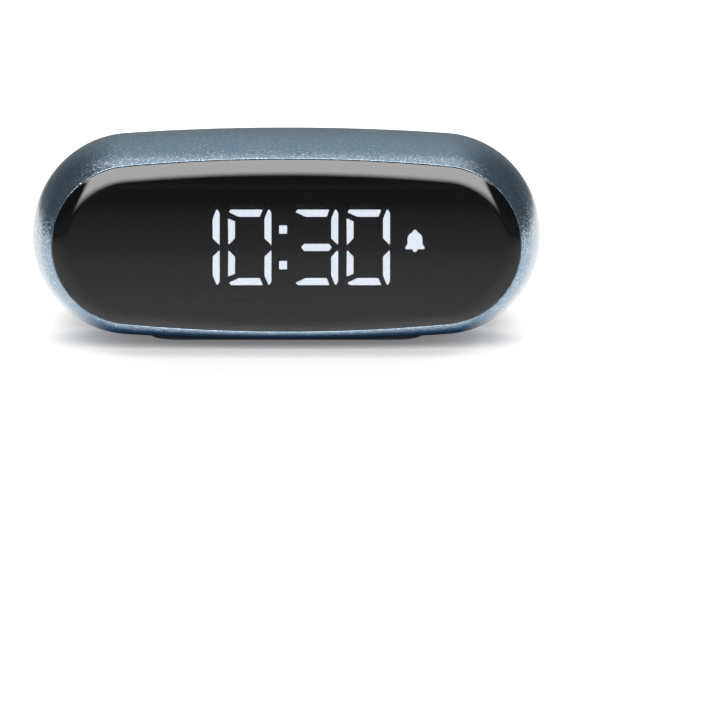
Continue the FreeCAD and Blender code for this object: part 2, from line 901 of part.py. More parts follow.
def bell_prism(depth, length):
    """The alarm symbol: a bell with a knob on top, a flared lip and a clapper."""
    knob = dims.bell_knob_half
    shoulder = dims.bell_shoulder
    hem = (dims.bell_hem_half, dims.bell_lip_top)
    skirt = (dims.bell_side_half, dims.bell_side_start)
    waist = (dims.bell_side_half, dims.bell_side_end)
    across = (dims.display_x + dims.bell_x).number
    tall = dims.bell_tip - dims.bell_clapper
    base = (dims.display_z + dims.bell_z - tall / 2).number

    def run(way, *corners):
        """A straight line between two corners, or an arc through three, on either side."""
        points = [App.Vector(across + right.number * way, depth, base + up.number)
                  for right, up in corners]
        curve = Part.LineSegment(*points) if len(points) == 2 else Part.Arc(*points)
        return curve.toShape()

    edges = [
        run(1, (knob, shoulder), (ZERO, dims.bell_tip), (-knob, shoulder)),
        run(1, (knob, ZERO), (ZERO, -dims.bell_clapper), (-knob, ZERO)),
    ]
    for way in (1, -1):
        edges += [
            run(way, (knob, ZERO), (dims.bell_foot_half, ZERO)),
            run(way, (dims.bell_foot_half, ZERO), (dims.bell_lip_half, dims.bell_lip_top / 2), hem),
            run(way, hem, skirt),
            run(way, skirt, waist),
            run(way, waist, (dims.bell_bulge_half, dims.bell_bulge_top), (knob, shoulder)),
        ]
    wire = Part.Wire(Part.__sortEdges__(edges))
    return Part.Face(wire).extrude(App.Vector(0, length, 0))


def light_feature(name, solids):
    """Holds ready-made solids as one object of the document."""
    feature = doc.addObject("Part::Feature", name)
    feature.Shape = Part.makeCompound(solids)
    return feature


def display_pieces():
    """Lit display: housing with light wells, their cast windows, light chips, base and pins."""
    front = housing_front_y.number
    deep = dims.housing_depth.number
    thick = dims.window_thick.number
    unlit = ["".join(letter for letter in ALL_SEGMENTS if letter not in lit) for lit in LIT_SEGMENTS]
    everything = [ALL_SEGMENTS] * len(LIT_SEGMENTS)
    wells = segment_prisms(everything, front, deep) + colon_prisms(front, deep)
    wells.append(bell_prism(front, deep))

    block = box(dims.display_x, housing_front_y, dims.display_z,
                dims.housing_width, dims.housing_depth, dims.housing_height)
    finish(cut(block, [light_feature("light_wells", wells)]), "display_housing")
    finish(light_feature("lit", segment_prisms(LIT_SEGMENTS, front, thick)), "lit_segments")
    finish(light_feature("unlit", segment_prisms(unlit, front, thick)), "unlit_segments")
    finish(light_feature("colon", colon_prisms(front, thick)), "colon_dots")
    finish(light_feature("bell", [bell_prism(front, thick)]), "bell_symbol")

    chips = []
    for well in wells:
        middle = well.CenterOfMass
        across = as_size(round(middle.x, 3))
        up = as_size(round(middle.z, 3))
        chips.append(box(across, display_base_y - dims.chip_thick, up,
                         dims.chip_size, dims.chip_thick, dims.chip_size))
    finish(group(chips), "light_chips")

    base = box(dims.display_x, display_base_y, dims.display_z,
               dims.housing_width, dims.display_base_thick, dims.housing_height)
    finish(group([base]), "display_base")
    pins = [rod(across, display_board_y, up, dims.pin_radius,
                dims.display_board_thick + dims.pin_tail) for across, up in pin_places()]
    finish(group(pins), "display_pins")


def pin_places():
    """The display's pins, in two rows."""
    places = []
    for side in (1, -1):
        for number in range(PINS_PER_ROW):
            step = number - (PINS_PER_ROW - 1) / 2
            places.append((dims.display_x + dims.pin_pitch * step,
                           dims.display_z + dims.pin_row_z * side))
    return places


# ---------------------------------------------------------------- boards

def screw(across, seat, up, toward):
    """Board screw whose head sits on the seat; toward is +1 when its tip points to the rear."""
    if toward > 0:
        head = rod(across, seat - dims.board_screw_head_thick, up,
                   dims.board_screw_head_radius, dims.board_screw_head_thick)
        shank = rod(across, seat, up, dims.board_screw_radius, dims.board_screw_length)
    else:
        head = rod(across, seat, up, dims.board_screw_head_radius, dims.board_screw_head_thick)
        shank = rod(across, seat - dims.board_screw_length, up,
                    dims.board_screw_radius, dims.board_screw_length)
    return join([head, shank])


def display_board_parts():
    """Board behind the display, its screws and the chip that drives the lights."""
    board = box(ZERO, display_board_y, ZERO, display_board_half_width * 2,
                dims.display_board_thick, display_board_half_height * 2)
    corners = four_corners(display_screw_x, display_screw_z)
    hole = dims.board_screw_radius + dims.board_hole_gap
    holes = [rod(across, display_board_y, up, hole, dims.display_board_thick)
             for across, up in corners]
    for across, up in pin_places():
        holes.append(rod(across, display_board_y, up, dims.pin_radius + dims.pin_fit,
                         dims.display_board_thick))
    finish(cut(board, holes), "display_board")
    screws = [screw(across, display_board_back_y, up, -1) for across, up in corners]
    finish(group(screws), "display_board_screws")
    driver = box(driver_x, display_board_back_y, driver_z,
                 dims.driver_size, dims.driver_thick, dims.driver_size)
    finish(group([driver]), "light_driver")


def control_board_parts():
    """Board behind the keys, its screws, the controller, the crystal and the small parts."""
    front = dims.control_board_y
    board = box(ZERO, front, ZERO, control_board_half_width * 2,
                dims.control_board_thick, dims.control_board_height)
    corners = four_corners(control_screw_x, control_screw_z)
    hole = dims.board_screw_radius + dims.board_hole_gap
    holes = [rod(across, front, up, hole, dims.control_board_thick) for across, up in corners]
    finish(cut(board, holes), "control_board")
    screws = [screw(across, front, up, 1) for across, up in corners]
    finish(group(screws), "control_board_screws")

    controller = box(dims.controller_x, front - dims.controller_thick, dims.controller_z,
                     dims.controller_size, dims.controller_thick, dims.controller_size)
    finish(group([controller]), "microcontroller")
    can = doc.addObject("Part::Cylinder", "crystal")
    can.Placement.Rotation = App.Rotation(App.Vector(0, 1, 0), 90)
    bind(can, "Radius", dims.crystal_radius)
    bind(can, "Height", dims.crystal_length)
    bind(can, "Placement.Base.x", dims.crystal_x - dims.crystal_length / 2)
    bind(can, "Placement.Base.y", front - dims.crystal_radius)
    bind(can, "Placement.Base.z", dims.crystal_z)
    finish(group([can]), "clock_crystal")
    charger = box(dims.charger_x, front - dims.charger_thick, dims.charger_z,
                  dims.charger_width, dims.charger_thick, dims.charger_height)
    finish(group([charger]), "charge_controller")
    capacitors = []
    for number in range(CAPACITORS):
        step = number - (CAPACITORS - 1) / 2
        capacitors.append(box(dims.capacitor_pitch * step, front - dims.capacitor_height,
                              dims.capacitor_z, dims.capacitor_width,
                              dims.capacitor_height, dims.capacitor_height))
    finish(group(capacitors), "board_capacitors")


def battery_parts():
    """Flat cell, the foam tape that holds it, its two leads and their plug and socket."""
    body = new_body("battery_body")
    section = side_sketch(body, "cell_section")
    back = battery_y + dims.battery_thick
    low = -(dims.battery_height / 2)
    rectangle(section, (battery_y, low), (back, -low))
    cell = extrude(body, "Pad", section, dims.battery_width, False)
    cell.Midplane = True
    length = dims.battery_width.number
    round_edges(body, dims.battery_round, lambda edge_box: edge_box.XLength > length - TINY)
    finish(body, "battery_cell")

    tape = box(ZERO, display_board_back_y, ZERO, dims.battery_tape_width,
               dims.battery_tape_thick, dims.battery_tape_height)
    finish(group([tape]), "battery_tape")

    plug_y = dims.control_board_y - dims.socket_floor - dims.plug_length
    leads = [battery_lead(dims.lead_pitch * side / 2, plug_y, number)
             for number, side in enumerate((1, -1), start=1)]
    finish(group(leads), "battery_leads")
    plug = box(plug_x, plug_y, ZERO, dims.plug_width, dims.plug_length, dims.plug_height)
    finish(group([plug]), "battery_plug")

    wall = dims.socket_wall + dims.plug_gap
    mouth_y = dims.control_board_y - dims.socket_depth
    shell = box(plug_x, mouth_y, ZERO, dims.plug_width + wall * 2, dims.socket_depth,
                dims.plug_height + wall * 2)
    well = box(plug_x, mouth_y, ZERO, dims.plug_width + dims.plug_gap * 2,
               dims.socket_depth - dims.socket_floor, dims.plug_height + dims.plug_gap * 2)
    finish(cut(shell, [well]), "battery_socket")


def battery_lead(up, plug_y, number):
    """One wire from the cell's end to the plug: two straight runs and a quarter bend."""
    body = new_body("lead_%d" % number)
    start_x = dims.battery_width / 2
    start_y = battery_y + dims.battery_thick / 2
    bend = dims.lead_bend
    path = top_sketch(body, "lead_path_%d" % number, up)
    runs = bent_path(path, [(start_x, start_y), (plug_x, start_y), (plug_x, plug_y)], bend)
    section = sketch_on(body, "YZ_Plane", "lead_section_%d" % number, start_x)
    circle(section, start_y, up, dims.lead_radius)
    sweep(body, path, section, runs)
    return body


def bent_path(sketch, corners, bend):
    """Open path of straight runs along X and Y, with a round bend at each inner corner."""
    count = 0
    for number in range(len(corners) - 1):
        here = corners[number]
        there = corners[number + 1]
        along_x = abs(here[0].number - there[0].number) > TINY
        axis = 0 if along_x else 1
        way = 1 if there[axis].number > here[axis].number else -1
        start = list(here)
        stop = list(there)
        if number > 0:
            start[axis] = here[axis] + bend * way
        if number < len(corners) - 2:
            stop[axis] = there[axis] - bend * way
        line = sketch.addGeometry(Part.LineSegment(
            App.Vector(start[0].number, start[1].number, 0),
            App.Vector(stop[0].number, stop[1].number, 0)), False)
        hold_point(sketch, line, START, *start)
        hold_point(sketch, line, STOP, *stop)
        count += 1
        if number > 0:
            count += 1
            add_bend(sketch, last_end, here, start, bend)
        last_end = stop
    return count


def add_bend(sketch, start, corner, stop, bend):
    """Quarter arc between two runs that meet at a corner."""
    centre = (start[0] + stop[0] - corner[0], start[1] + stop[1] - corner[1])
    first = math.atan2(start[1].number - centre[1].number, start[0].number - centre[0].number)
    last = math.atan2(stop[1].number - centre[1].number, stop[0].number - centre[0].number)
    turn = (last - first) % (2 * math.pi)
    if turn > math.pi:
        first, last = last, first
        start, stop = stop, start
    piece = arc(centre[0].number, centre[1].number, bend.number, first, first + math.pi / 2)
    shape = sketch.addGeometry(piece, False)
    hold_point(sketch, shape, START, *start)
    hold_point(sketch, shape, STOP, *stop)
    hold(sketch, "Radius", (shape,), bend)


def sweep(body, path, section, runs):
    """Sweeps a section along a path sketch."""
    doc.recompute()
    pipe = body.newObject("PartDesign::AdditivePipe", body.Name + "_sweep")
    pipe.Profile = section
    pipe.Spine = (path, ["Edge%d" % number for number in range(1, runs + 1)])
    path.Visibility = False
    section.Visibility = False


def ribbon_parts():
    """Flat cable from the display board round to the control board, and its two sockets."""
    body = new_body("ribbon_body")
    first_y = display_board_back_y + dims.ribbon_in_socket
    last_y = dims.control_board_y - dims.ribbon_in_socket
    start_x = -ribbon_socket_x - dims.ribbon_socket_length / 2
    turn_x = start_x - dims.ribbon_run - dims.ribbon_bend
    path = top_sketch(body, "ribbon_path", ZERO)
    runs = bent_path(path, [(start_x, first_y), (turn_x, first_y), (turn_x, last_y),
                            (start_x, last_y)], dims.ribbon_bend)
    section = sketch_on(body, "YZ_Plane", "ribbon_section", start_x)
    centred_rectangle(section, first_y, ZERO, dims.ribbon_thick, dims.ribbon_width)
    sweep(body, path, section, runs)
    finish(body, "ribbon_cable")

    sockets = [box(-ribbon_socket_x, depth, ZERO, dims.ribbon_socket_length,
                   dims.ribbon_socket_thick, dims.ribbon_socket_width)
               for depth in (display_board_back_y,
                             dims.control_board_y - dims.ribbon_socket_thick)]
    finish(group(sockets), "ribbon_sockets")


# ---------------------------------------------------------------- rear panel

def key_place(number):
    """Middle of a key across the panel; the keys are evenly spaced over the row."""
    last = len(KEY_NAMES) - 1
    return key_row_reach * (2 * number / last - 1)


def rear_panel():
    """Plate that closes the rear, with every opening and the bosses for the control board."""
    body = new_body("rear_panel_body")
    outline = front_sketch(body, "panel_outline", seat_y)
    lens_pill.draw(outline)
    pad(body, outline, dims.panel_thick)
    round_edges(body, dims.panel_edge_round, lies_at(panel_face_y))

    bosses = front_sketch(body, "panel_bosses", seat_y)
    for across, up in four_corners(control_screw_x, control_screw_z):
        circle(bosses, across, up, dims.board_boss_radius)
    pad(body, bosses, seat_y - control_board_back_y, rearward=False)
    pilots = front_sketch(body, "panel_pilots", control_board_back_y)
    for across, up in four_corners(control_screw_x, control_screw_z):
        circle(pilots, across, up, dims.board_screw_radius + dims.insert_gap)
    pocket(body, pilots, dims.board_screw_length)

    openings = front_sketch(body, "panel_openings", seat_y)
    for number in range(len(KEY_NAMES)):
        capsule(openings, key_place(number), dims.key_z,
                dims.key_width + dims.key_gap * 2, dims.key_height + dims.key_gap * 2)
    centred_rectangle(openings, slide_middle, dims.slide_z,
                      dims.knob_neck_width + dims.slide_travel + dims.knob_gap * 2,
                      dims.knob_neck_height + dims.knob_gap * 2)
    capsule(openings, ZERO, dims.port_z, dims.port_width + dims.port_gap * 2,
            dims.port_height + dims.port_gap * 2)
    circle(openings, ZERO, dims.light_z, dims.light_radius + dims.light_gap)
    circle(openings, buzzer_x, dims.buzzer_z, dims.sound_hole_radius)
    for number in range(RING_SOUND_HOLES):
        turn = 2 * math.pi * number / RING_SOUND_HOLES
        circle(openings, buzzer_x + dims.sound_hole_ring * math.cos(turn),
               dims.buzzer_z + dims.sound_hole_ring * math.sin(turn), dims.sound_hole_radius)
    for side in (1, -1):
        circle(openings, post_x * side, ZERO, dims.case_screw_radius + dims.screw_way)
    pocket(body, openings, dims.panel_thick)

    heads = front_sketch(body, "panel_counterbores", panel_face_y)
    for side in (1, -1):
        circle(heads, post_x * side, ZERO, dims.case_screw_head_radius + dims.head_gap)
    pocket(body, heads, dims.case_screw_head_thick + dims.screw_way, rearward=False)
    finish(body, "rear_panel")


def case_screws():
    """Two cross-head screws through the rear panel, and the brass inserts that take them."""
    seat = panel_face_y - dims.case_screw_head_thick - dims.screw_way
    screws = []
    inserts = []
    for side in (1, -1):
        across = post_x * side
        head = rod(across, seat, ZERO, dims.case_screw_head_radius, dims.case_screw_head_thick)
        shank_y = seat_y - dims.case_screw_length
        shank = rod(across, shank_y, ZERO, dims.case_screw_radius, seat - shank_y)
        slot_y = seat + dims.case_screw_head_thick - dims.cross_depth
        slots = [box(across, slot_y, ZERO, dims.cross_length, dims.cross_depth, dims.cross_width),
                 box(across, slot_y, ZERO, dims.cross_width, dims.cross_depth, dims.cross_length)]
        screws.append(cut(join([head, shank]), slots))
        sleeve = rod(across, seat_y - dims.insert_length, ZERO, dims.insert_radius,
                     dims.insert_length)
        bore = rod(across, seat_y - dims.insert_length, ZERO,
                   dims.case_screw_radius + dims.screw_fit, dims.insert_length)
        inserts.append(cut(sleeve, [bore]))
    finish(group(screws), "case_screws")
    finish(group(inserts), "threaded_inserts")


def keys():
    """Four push keys, each with its switch behind it."""
    bodies = []
    plunger_top = control_board_back_y + dims.switch_thick + dims.plunger_proud
    for number, name in enumerate(KEY_NAMES):
        across = key_place(number)
        body = new_body(name + "_key_body")
        cap = front_sketch(body, name + "_cap", seat_y)
        capsule(cap, across, dims.key_z, dims.key_width, dims.key_height)
        pad(body, cap, dims.panel_thick + dims.key_proud)
        round_edges(body, dims.key_edge_round, lies_at(panel_face_y + dims.key_proud))
        flange = front_sketch(body, name + "_flange", seat_y)
        capsule(flange, across, dims.key_z, dims.key_width + dims.key_flange_margin * 2,
                dims.key_height + dims.key_flange_margin * 2)
        pad(body, flange, dims.key_flange_thick, rearward=False)
        stem = front_sketch(body, name + "_stem", plunger_top)
        circle(stem, across, dims.key_z, dims.key_stem_radius)
        pad(body, stem, seat_y - plunger_top)
        finish(body, name + "_key")

        sunk = dims.plunger_sunk
        plunger = rod(across, plunger_top - dims.plunger_proud - sunk, dims.key_z,
                      dims.plunger_radius, dims.plunger_proud + sunk)
        finish(group([plunger]), name + "_plunger")
        case = box(across, control_board_back_y, dims.key_z, dims.switch_width,
                   dims.switch_thick, dims.switch_width)
        deep = sunk + dims.key_travel + dims.plunger_fit
        bore = rod(across, control_board_back_y + dims.switch_thick - deep, dims.key_z,
                   dims.plunger_radius + dims.plunger_fit, deep)
        bodies.append(cut(case, [bore]))
    finish(group(bodies), "key_switches")


def slide_switch():
    """Switch that turns the alarm on and off: its case, its lever and the knob outside."""
    top_y = control_board_back_y + dims.slide_body_thick
    knob_y = seat_y - dims.knob_gap - dims.knob_flange_thick
    case = box(slide_middle, control_board_back_y, dims.slide_z, dims.slide_body_width,
               dims.slide_body_thick, dims.slide_body_height)
    deep = dims.lever_sunk + dims.lever_fit
    slot = box(slide_middle, top_y - deep, dims.slide_z,
               dims.slide_travel + dims.lever_width + dims.lever_fit * 2, deep,
               dims.lever_height + dims.lever_fit * 2)
    finish(cut(case, [slot]), "slide_switch_body")

    lever_y = top_y - dims.lever_sunk
    lever = box(knob_rest, lever_y, dims.slide_z, dims.lever_width, knob_y - lever_y,
                dims.lever_height)
    finish(group([lever]), "slide_switch_lever")

    flange = box(knob_rest, knob_y, dims.slide_z, dims.knob_flange_width,
                 dims.knob_flange_thick, dims.knob_flange_height)
    knob_top = panel_face_y + dims.knob_proud
    neck = box(knob_rest, knob_y, dims.slide_z, dims.knob_neck_width, knob_top - knob_y,
               dims.knob_neck_height)
    grooves = []
    for number in range(KNOB_GROOVES):
        step = number - (KNOB_GROOVES - 1) / 2
        grooves.append(box(knob_rest + dims.groove_pitch * step, knob_top - dims.groove_depth,
                           dims.slide_z, dims.groove_width, dims.groove_depth,
                           dims.knob_neck_height))
    finish(cut(join([flange, neck]), grooves), "slide_knob")


def charging_port():
    """Upright charging socket on the control board, and the light above it."""
    mouth_y = panel_face_y - dims.port_recess
    body = new_body("port_shell_body")
    outline = front_sketch(body, "port_outline", control_board_back_y)
    capsule(outline, ZERO, dims.port_z, dims.port_width, dims.port_height)
    pad(body, outline, mouth_y - control_board_back_y)
    mouth = front_sketch(body, "port_mouth", mouth_y)
    capsule(mouth, ZERO, dims.port_z, dims.port_width - dims.port_wall * 2,
            dims.port_height - dims.port_wall * 2)
    pocket(body, mouth, mouth_y - control_board_back_y - dims.port_floor, rearward=False)
    finish(body, "port_shell")

    tongue_y = control_board_back_y + dims.port_floor
    tongue = box(ZERO, tongue_y, dims.port_z, dims.tongue_width,
                 mouth_y - dims.tongue_back - tongue_y, dims.tongue_height)
    finish(group([tongue]), "port_tongue")

    led = box(ZERO, control_board_back_y, dims.light_z, dims.charge_led_width,
              dims.charge_led_thick, dims.charge_led_height)
    finish(group([led]), "charge_light")
    foot_y = control_board_back_y + dims.charge_led_thick + dims.light_lift
    pipe = rod(ZERO, foot_y, dims.light_z, dims.light_radius, panel_face_y - foot_y)
    collar = rod(ZERO, seat_y - dims.light_radius, dims.light_z,
                 dims.light_radius + dims.light_collar, dims.light_radius)
    finish(join([pipe, collar]), "charge_light_pipe")


def buzzer():
    """Buzzer on the control board, its coil and diaphragm, and the seal to the sound holes."""
    across = buzzer_x
    up = dims.buzzer_z
    start = control_board_back_y
    inside = dims.buzzer_radius - dims.buzzer_wall
    can = rod(across, start, up, dims.buzzer_radius, dims.buzzer_thick)
    hollow = rod(across, start + dims.buzzer_wall, up, inside,
                 dims.buzzer_thick - dims.buzzer_wall * 2)
    port = rod(across, start + dims.buzzer_thick - dims.buzzer_wall, up,
               dims.buzzer_port_radius, dims.buzzer_wall)
    finish(cut(can, [hollow, port]), "buzzer_case")
    coil_y = start + dims.buzzer_wall
    finish(group([rod(across, coil_y, up, dims.coil_radius, dims.coil_height)]), "buzzer_coil")
    finish(group([rod(across, coil_y + dims.coil_height + dims.diaphragm_lift, up,
                      inside - dims.diaphragm_gap, dims.diaphragm_thick)]), "buzzer_diaphragm")

    gasket_y = start + dims.buzzer_thick
    outer = dims.buzzer_radius - dims.gasket_margin
    ring = rod(across, gasket_y, up, outer, seat_y - gasket_y)
    hole = rod(across, gasket_y, up, outer - dims.gasket_wall, seat_y - gasket_y)
    finish(cut(ring, [hole]), "buzzer_gasket")
    finish(group([rod(across, seat_y - dims.mesh_thick, up,
                      outer - dims.gasket_wall - dims.mesh_gap, dims.mesh_thick)]), "sound_mesh")


# ---------------------------------------------------------------- build, test and write

def build():
    front_shell()
    rear_shell()
    front_lens()
    lens_tape()
    foot_pad()
    display_pieces()
    display_board_parts()
    control_board_parts()
    battery_parts()
    ribbon_parts()
    rear_panel()
    case_screws()
    keys()
    slide_switch()
    charging_port()
    buzzer()
    doc.recompute()


def check():
    """Stops if any object failed or any sub-part is empty or broken."""
    for thing in doc.Objects:
        bad = [state for state in thing.State if state in ("Invalid", "Error")]
        if bad:
            raise RuntimeError("%s is %s" % (thing.Label, bad))
    for thing in nodes:
        shape = thing.Shape
        if shape.isNull() or not shape.isValid() or not shape.Solids:
            raise RuntimeError("%s has no valid solid" % thing.Label)


def write():
    os.makedirs(OUT_FOLDER, exist_ok=True)
    for thing in nodes:
        thing.Shape.exportStep(os.path.join(OUT_FOLDER, thing.Label + ".step"))
        print("%-22s %2d solids %9.2f mm3" % (thing.Label, len(thing.Shape.Solids),
                                              thing.Shape.Volume))


build()
check()
write()
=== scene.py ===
"""Looks of the pill-shaped bedside alarm clock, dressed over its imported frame.

Sizes are in millimetres and are turned into metres where a mesh is made; places in the studio are
in metres. +X runs along the clock, -Y comes out of the display and +Z is up. Heights of the pieces
are counted from the case's middle.
"""
from __future__ import annotations

import logging
import math
from dataclasses import dataclass, replace
from enum import Enum
from typing import Iterable, Sequence

import bmesh
import bpy
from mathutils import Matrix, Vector
from mathutils.geometry import delaunay_2d_cdt


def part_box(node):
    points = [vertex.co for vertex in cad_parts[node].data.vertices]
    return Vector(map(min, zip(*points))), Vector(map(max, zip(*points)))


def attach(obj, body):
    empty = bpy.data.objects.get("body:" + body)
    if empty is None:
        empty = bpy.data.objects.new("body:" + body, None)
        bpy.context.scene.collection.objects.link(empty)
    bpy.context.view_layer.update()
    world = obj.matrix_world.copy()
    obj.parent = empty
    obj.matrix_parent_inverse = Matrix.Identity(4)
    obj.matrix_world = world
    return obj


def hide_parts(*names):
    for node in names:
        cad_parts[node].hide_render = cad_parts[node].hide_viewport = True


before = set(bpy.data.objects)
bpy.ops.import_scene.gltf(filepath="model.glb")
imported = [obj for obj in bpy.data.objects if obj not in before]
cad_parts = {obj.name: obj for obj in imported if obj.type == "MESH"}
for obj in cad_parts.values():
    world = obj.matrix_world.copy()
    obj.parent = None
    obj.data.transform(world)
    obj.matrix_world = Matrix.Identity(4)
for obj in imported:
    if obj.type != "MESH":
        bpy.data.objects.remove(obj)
log = logging.getLogger("alarm_clock")

# metres in a millimetre, and millimetres from the floor to the case's middle
MM = 0.001
LIFT = 18.0
# edges sharper than this angle stay sharp; points nearer than this, in metres, become one
SMOOTH_ANGLE = math.radians(34)
MERGE = 1e-7
QUARTER = math.pi / 2
# least corner radius, most of a side that a corner's curve takes, and a length past any rod's
SHARPEST = 0.001
MOST_OF_SIDE = 0.45
UNCLIPPED = 1000.0
# the sRGB curve: a straight start up to the knee, then a power
SRGB_KNEE = 0.04045
SRGB_SLOPE = 12.92
SRGB_OFFSET = 0.055
SRGB_POWER = 2.4

Flat = tuple[float, float]
Line = tuple[Flat, Flat]
Spot = tuple[float, float, float]
Rgba = tuple[float, float, float, float]
Ring = list[bmesh.types.BMVert]
Source = float | bpy.types.Node | bpy.types.NodeSocket

WHITE: Rgba = (1.0, 1.0, 1.0, 1.0)
BLACK: Rgba = (0.0, 0.0, 0.0, 1.0)


def spot(across: float, depth: float, up: float) -> Vector:
    """A place on the clock, from millimetres about the case's middle to metres."""
    return Vector((across, depth, up + LIFT)) * MM


def steps(first: float, last: float, count: int) -> list[float]:
    """Evenly spaced numbers from first to last, both included."""
    return [first + (last - first) * number / (count - 1) for number in range(count)]


def curved(first: Vector, control: Vector, last: Vector, share: float) -> Vector:
    """The point at a share of the way along a curve with one control point."""
    return (1 - share) ** 2 * first + 2 * share * (1 - share) * control + share**2 * last


def new_object(name: str, data: bpy.types.ID) -> bpy.types.Object:
    """Makes an object and puts it in the scene."""
    made = bpy.data.objects.new(name, data)
    bpy.context.scene.collection.objects.link(made)
    return made


# ---------------------------------------------------------------- outlines


@dataclass(frozen=True)
class Pill:
    """Long outline of two end arcs joined by two shallow crown arcs that are tangent to them."""

    width: float
    height: float
    rise: float
    end_points: int = 45
    crown_points: int = 41

    @property
    def radius(self) -> float:
        """Radius of the end arcs."""
        return self.height / 2 - self.rise

    @property
    def reach(self) -> float:
        """Distance of an end arc's centre from the middle."""
        return self.width / 2 - self.radius

    @property
    def crown(self) -> float:
        """Radius of the crown arcs."""
        half = self.height / 2
        return (self.reach**2 + half**2 - self.radius**2) / (2 * self.rise)

    def places(self) -> list[tuple[Flat, Flat, Flat]]:
        """Walks once round the outline.

        Returns:
            For each point its place, its outward normal, and the place on the long axis under it.
        """
        lean = math.asin(self.reach / (self.crown - self.radius))
        spread = self.reach / (self.reach + self.radius * math.sin(lean))
        low = self.height / 2 - self.crown
        left, right = QUARTER + lean, QUARTER - lean
        arcs = (
            (self.reach, 0.0, self.radius, -right, right, self.end_points),
            (0.0, low, self.crown, right, left, self.crown_points),
            (-self.reach, 0.0, self.radius, left, math.pi + right, self.end_points),
            (0.0, -low, self.crown, math.pi + right, math.pi + left, self.crown_points),
        )
        found = []
        for middle_x, middle_z, radius, start, stop, count in arcs:
            for turn in steps(start, stop, count)[:-1]:
                normal = (math.cos(turn), math.sin(turn))
                place = (middle_x + radius * normal[0], middle_z + radius * normal[1])
                found.append((place, normal, (middle_x or place[0] * spread, 0.0)))
        return found

    def points(self, grow: float = 0.0) -> list[Flat]:
        """The outline, moved outwards by grow."""
        return [(place[0] + normal[0] * grow, place[1] + normal[1] * grow)
                for place, normal, _ in self.places()]


@dataclass(frozen=True)
class RoundBox:
    """Rectangle with rounded corners; a slot or a circle where the corners meet."""

    across: float
    up: float
    width: float
    height: float
    corner: float
    corner_points: int = 9

    def points(self, grow: float = 0.0) -> list[Flat]:
        """The outline, moved outwards by grow."""
        radius = max(self.corner + grow, SHARPEST)
        reach_x = self.width / 2 + grow - radius
        reach_z = self.height / 2 + grow - radius
        found = []
        for number, (side, level) in enumerate(((1, 1), (-1, 1), (-1, -1), (1, -1))):
            for turn in steps(number * QUARTER, (number + 1) * QUARTER, self.corner_points):
                found.append((self.across + side * reach_x + radius * math.cos(turn),
                              self.up + level * reach_z + radius * math.sin(turn)))
        return found


def capsule(across: float, up: float, width: float, height: float) -> RoundBox:
    """Outline of a slot with half-round ends."""
    return RoundBox(across, up, width, height, height / 2)


def disc(across: float, up: float, radius: float, corner_points: int = 9) -> RoundBox:
    """Outline of a circle."""
    return RoundBox(across, up, radius * 2, radius * 2, radius, corner_points)


@dataclass(frozen=True)
class Polygon:
    """Outline through given corners, which grow doesn't move."""

    corners: tuple[Flat, ...]

    def points(self, grow: float = 0.0) -> list[Flat]:
        """The corners as they are."""
        return list(self.corners)


def stroke(start: Flat, stop: Flat, width: float, end_points: int = 7) -> Polygon:
    """Outline of a line of some width with round ends."""
    turn = math.atan2(stop[1] - start[1], stop[0] - start[0])
    corners = []
    for middle, first in ((stop, turn - QUARTER), (start, turn + QUARTER)):
        for angle in steps(first, first + math.pi, end_points):
            corners.append((middle[0] + width / 2 * math.cos(angle),
                            middle[1] + width / 2 * math.sin(angle)))
    return Polygon(tuple(corners))


def softened(corners: Sequence[Flat], radius: float, count: int = 4) -> list[Flat]:
    """Rounds the corners of a polygon a little.

    Args:
        corners: the sharp corners.
        radius: how far along its sides each corner's curve starts.
        count: points of each curve.

    Returns:
        The points of the softened outline.
    """
    found = []
    for number, corner in enumerate(corners):
        here = Vector(corner)
        before = Vector(corners[number - 1]) - here
        after = Vector(corners[(number + 1) % len(corners)]) - here
        reach = min(radius, before.length * MOST_OF_SIDE, after.length * MOST_OF_SIDE)
        first, last = here + before.normalized() * reach, here + after.normalized() * reach
        found += [tuple(curved(first, here, last, share)) for share in steps(0.0, 1.0, count)]
    return found


def inside(point: Vector, loop: Sequence[Flat]) -> bool:
    """True if a flat point lies in a closed outline."""
    hit = False
    for (x1, z1), (x2, z2) in zip(loop, [*loop[1:], loop[0]]):
        if (z1 > point.y) != (z2 > point.y):
            hit ^= point.x < (x2 - x1) * (point.y - z1) / (z2 - z1) + x1
    return hit


def rounding(radius: float, face: float, way: int, count: int = 5) -> list[Flat]:
    """Profile of a rounded edge, from the face down to the wall.

    Args:
        radius: radius of the edge.
        face: depth of the face.
        way: +1 where the face looks to the rear, -1 where it looks to the front.
        count: points along the edge.

    Returns:
        Pairs of growth and depth that start on the face.
    """
    return [(-radius * (1 - math.sin(turn)), face - way * radius * (1 - math.cos(turn)))
            for turn in steps(0.0, QUARTER, count)]


Outline = Pill | RoundBox | Polygon


@dataclass(frozen=True)
class Layout:
    """Sizes and places that several pieces share: lens and panel sit equally deep."""

    case: Pill = Pill(width=86.4, height=35.6, rise=0.9)
    opening: Pill = Pill(width=78.9, height=29.3, rise=1.2)
    display: Flat = (-0.56, -0.44)
    seat_y: float = 13.4
    panel_y: float = 15.6
    screw_x: float = 33.5
    key_x: tuple[float, ...] = (-17.1, -5.7, 5.7, 17.1)
    key_z: float = 6.0
    port_z: float = -6.0
    slide_x: float = 18.0
    light_z: float = -0.7
    sound: Flat = (-17.0, -4.7)


LAYOUT = Layout()


# ---------------------------------------------------------------- mesh building


